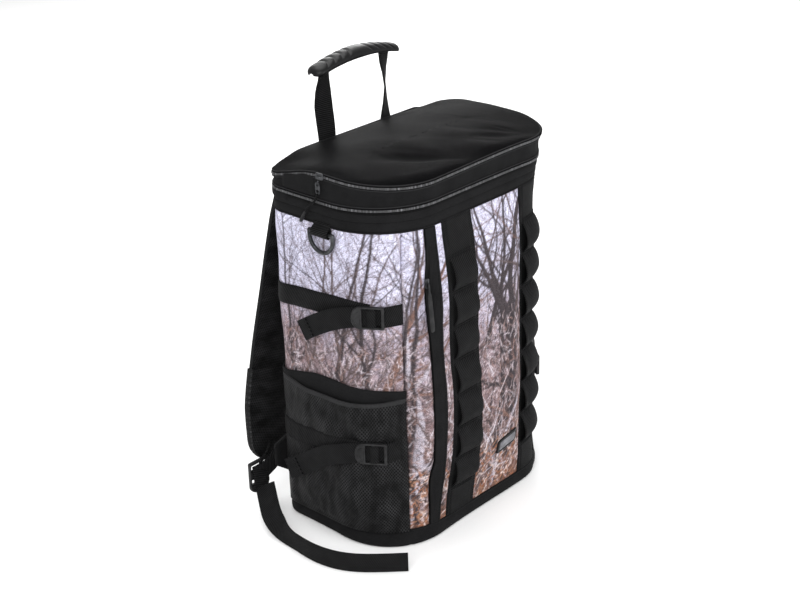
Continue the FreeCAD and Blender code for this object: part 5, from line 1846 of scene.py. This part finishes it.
# A shoulder strap's middle line seen from the front and from the side, and its width.
STRAP_Z = (427, 414, 398, 362, 330, 262, 190, 120, 54)
STRAP_X = (73.5, 74, 76.5, 82, 88, 103, 121, 139, 152)
STRAP_Y = (98.6, 111, 129, 139, 142, 144, 143.5, 138.5, 127)
STRAP_W = (54, 56, 57.5, 61, 62, 64, 68, 70, 60)


def strap_section(across, half_skin):
    """A closed section from half thicknesses across the strap."""
    top = list(zip(across, half_skin))
    return top + [(a, -h) for a, h in reversed(top)]


def make_shoulder_strap(side):
    """Foam strap in air mesh, swollen between its bound edges, with a thicker lower end in the same mesh."""
    name = side_name(side)
    points = np.array([(side * a, b, c) for a, b, c in zip(STRAP_X, STRAP_Y, STRAP_Z)])
    centres, tangents = smooth_path(points, 84)
    widths = np.interp(centres[:, 2], STRAP_Z[::-1], STRAP_W[::-1])
    share = np.linspace(0, 1, len(centres))
    round_end = np.sqrt(np.maximum(0.05, 1 - np.clip((share - 0.94) / 0.06, 0, 1) ** 2 * 0.8))
    widths = widths * round_end - 4
    across_steps = np.linspace(-0.5, 0.5, 13)
    half_skin = 3.6 * np.sqrt(np.maximum(0, 1 - (np.abs(across_steps) * 2) ** 6)) + 0.9
    loop = strap_section(across_steps, half_skin)
    outs = np.broadcast_to([0, 1.0, 0.0], centres.shape)
    end = 0.45 + 0.55 * ease(share, 0, 0.05)
    scale = np.stack([widths, np.minimum(end, 1 - 0.5 * ease(share, 0.95, 1.0))], axis=-1)
    pad = sweep(name + "_shoulder_strap", centres, outs, loop, scale)
    around = len(loop)
    rim = (0, 12, 13, 25)
    last = len(centres) * around
    pinned = [r * around + k for r in range(len(centres)) for k in rim]
    pinned += list(range(around * 2)) + list(range(last - 2 * around, last))
    cloth_settle(pad, pinned, 4.0, 3.2)
    subdivide(pad)
    place_on(pad, "pack", "air_mesh", AIR_MESH, name + "_shoulder_strap")
    frames = unit(np.cross(tangents, outs))
    edges = []
    for edge in (-1, 1):
        line = centres + frames * (edge * widths / 2)[:, None]
        flat = np.tile([2.6, 0.78], (len(line), 1))
        edges.append(sweep(f"{name}_edge", line, frames * edge, circle_loop(1, 10), flat))
    place_on(join(name + "_strap_binding", edges), "pack", "binding", BINDING)
    lower = share > 0.70
    half_skin = 4.7 + 2.2 * (1 - (np.abs(across_steps) * 2) ** 2)
    loop = strap_section(across_steps * 1.02, half_skin)
    taper = 1 - 0.42 * ease(share[lower], 0.93, 1.0)
    cap_scale = np.stack([widths[lower], taper], axis=-1)
    cap = sweep(name + "_strap_end", centres[lower], outs[lower], loop, cap_scale)
    place_on(cap, "pack", "air_mesh", AIR_MESH)
    first = int(np.argmax(lower))
    row = centres[first + 1] + frames[first + 1] * stretch(-27, 27, 2)[:, None] + np.array([0, 7.0, 0])
    thread = stitches(name + "_strap_thread", row, [0, 1.0, 0])
    place_on(thread, "pack", "air_mesh", BINDING)


def make_wing(side):
    """The sewn corner at the bag's foot that holds the strap's lower webbing."""
    name = side_name(side)
    u = np.linspace(0, 1, 12)[None, :]
    v = np.linspace(0, 1, 16)[:, None]
    root = np.array([136.0, 94.6, 0])
    tip = np.array([163.5, 101.2, 0])
    z = (38 + 20 * u) + v * (62 - 36 * u)
    x = np.broadcast_to(root[0] + (tip[0] - root[0]) * u, z.shape)
    puff = 1.4 * np.sin(math.pi * v) * np.sin(math.pi * np.minimum(u * 1.1, 1))
    y = root[1] + (tip[1] - root[1]) * u**1.2 + puff
    points = np.stack([side * x, y, z], axis=-1)
    wing = sheet(name + "_wing", points, x, z, 3.0)
    if side > 0:
        wing.data.flip_normals()
    wing.modifiers["thickness"].offset = 0
    place_on(wing, "pack", "black_fabric", BLACK_CLOTH, "anchor_wings")
    rim = np.concatenate([points[0], points[1:, -1], points[-1, ::-1][1:]])
    place_on(tube(name + "_wing_binding", rim, 1.9, 8), "pack", "binding", BINDING)


# The adjuster's webbings on the right: whether each rides on the buckle, and its path.
ADJUSTER_RUNS = {
    "lower_webbing": (False, ((158, 101.6, 71), (164, 102.4, 66), (168, 102.9, 62.6), (171.4, 103.2, 61))),
    "lower_stub": (True, ((170.4, 103.2, 61.2), (177, 103.7, 58), (182, 104.1, 56), (187, 104.5, 54))),
    "strap_webbing": (False, ((154, 125, 70), (163, 119.5, 68), (168, 116.2, 67.4), (171.6, 113.7, 67))),
    "strap_stub": (True, ((170.8, 114.2, 67.1), (178, 109.6, 66.2), (183, 107.8, 65.6), (187, 106.6, 65))),
    "bar_webbing": (True, ((187, 106.0, 67), (187, 104.4, 60), (187, 104.0, 44), (187, 105.0, 33))),
}


def make_adjuster(side):
    """The strap's adjuster and its webbings; the ends inside the buckle move with it."""
    name = side_name(side)
    matrix = local_frame((side * 187, 106, 50), (0, 0, 1), (0, 1, 0))
    body = name + "_adjuster_buckle"
    ladder_lock(name + "_adjuster", body, matrix, name + "_adjuster")
    for run, (on_buckle, path) in ADJUSTER_RUNS.items():
        lean = 0.4 if run.startswith("strap") else 0.0
        path = [(side * x, y, z) for x, y, z in path]
        piece = ribbon(f"{name}_{run}", path, [(0, 1, lean), (0, 1, lean)], 24.0, 1.6)
        if on_buckle:
            place_on(piece, body, "webbing", WEB)
        else:
            place_on(piece, "pack", "webbing", WEB, "harness_webbing")

# ---------------------------------------------------------------- putting it together


def dress_inside():
    """Materials for the inner parts and rings that stay as the CAD made them."""
    looks = {
        "base_board": (BOARD, "stiff_board"),
        "frame_sheet": (BOARD, "stiff_board"),
        "front_pocket_divider": (LINING_SOLID, "liner_fabric"),
        "lid_pocket_floor": (LINING_SOLID, "liner_fabric"),
        "left_d_ring": (GUNMETAL, "dark_metal"),
        "right_d_ring": (GUNMETAL, "dark_metal"),
    }
    for name, (material, slot) in looks.items():
        piece = NODES[name]
        piece.data.materials.clear()
        piece.data.materials.append(material)


def area_light(name, place, size, power):
    """A large soft light that faces the bag."""
    data = bpy.data.lights.new(name, "AREA")
    data.shape = "RECTANGLE"
    data.size, data.size_y = size
    data.energy = power
    light = bpy.data.objects.new(name, data)
    light.location = place
    way = Vector(LIGHT_TARGET) - Vector(place)
    light.rotation_euler = way.to_track_quat("-Z", "Y").to_euler()
    bpy.context.scene.collection.objects.link(light)


LIGHT_TARGET = (0, 0, 0.26)
FLOOR_HALF = 6.0


def make_studio():
    """Pale floor and world, with large soft lights above and on both sides."""
    mesh = bpy.data.meshes.new("floor")
    corners = [(x * FLOOR_HALF, y * FLOOR_HALF, 0) for x, y in ((-1, -1), (1, -1), (1, 1), (-1, 1))]
    mesh.from_pydata(corners, [], [(0, 1, 2, 3)])
    floor = bpy.data.objects.new("floor", mesh)
    floor.location.z = -0.4 * MM  # just under the base
    bpy.context.scene.collection.objects.link(floor)
    graph = Graph("floor", Roughness=0.9, Specular_IOR_Level=0.1)
    speckle = graph.noise(graph.solid(), 3.0)
    mesh.materials.append(graph.finish(graph.ramp(speckle, (0.3, 0.90), (0.7, 0.93))))
    world = bpy.data.worlds.new("studio")
    world.use_nodes = True
    background = world.node_tree.nodes["Background"]
    background.inputs["Color"].default_value = (1.0, 1.0, 1.0, 1)
    background.inputs["Strength"].default_value = 0.72
    bpy.context.scene.world = world
    area_light("key", (-1.9, -1.2, 1.9), (1.6, 1.6), 46)
    area_light("front_fill", (0.4, -2.3, 1.2), (1.4, 1.4), 30)
    area_light("top", (0.2, 0.6, 2.2), (1.4, 1.4), 26)
    area_light("back_rim", (1.6, 1.7, 1.2), (1.0, 1.4), 22)


make_boot()
make_panels()
front_zip()
make_collar()
make_zips_and_gusset()
make_lid_cover()
make_zip_garage()
make_hinge()
make_ladder("left", -48.0, 7.0)
make_ladder("right", 89.0, 9.0)
edge_threads()
make_patch()
for side in (-1, 1):
    make_side_pocket(side)
    make_compression(side, "upper")
    make_compression(side, "lower")
    ring_tab(side)
    handle_leg(side)
    make_shoulder_strap(side)
    make_wing(side)
    make_adjuster(side)
make_sliders_and_pulls()
make_grip()
make_back_pad()
dress_inside()
make_studio()
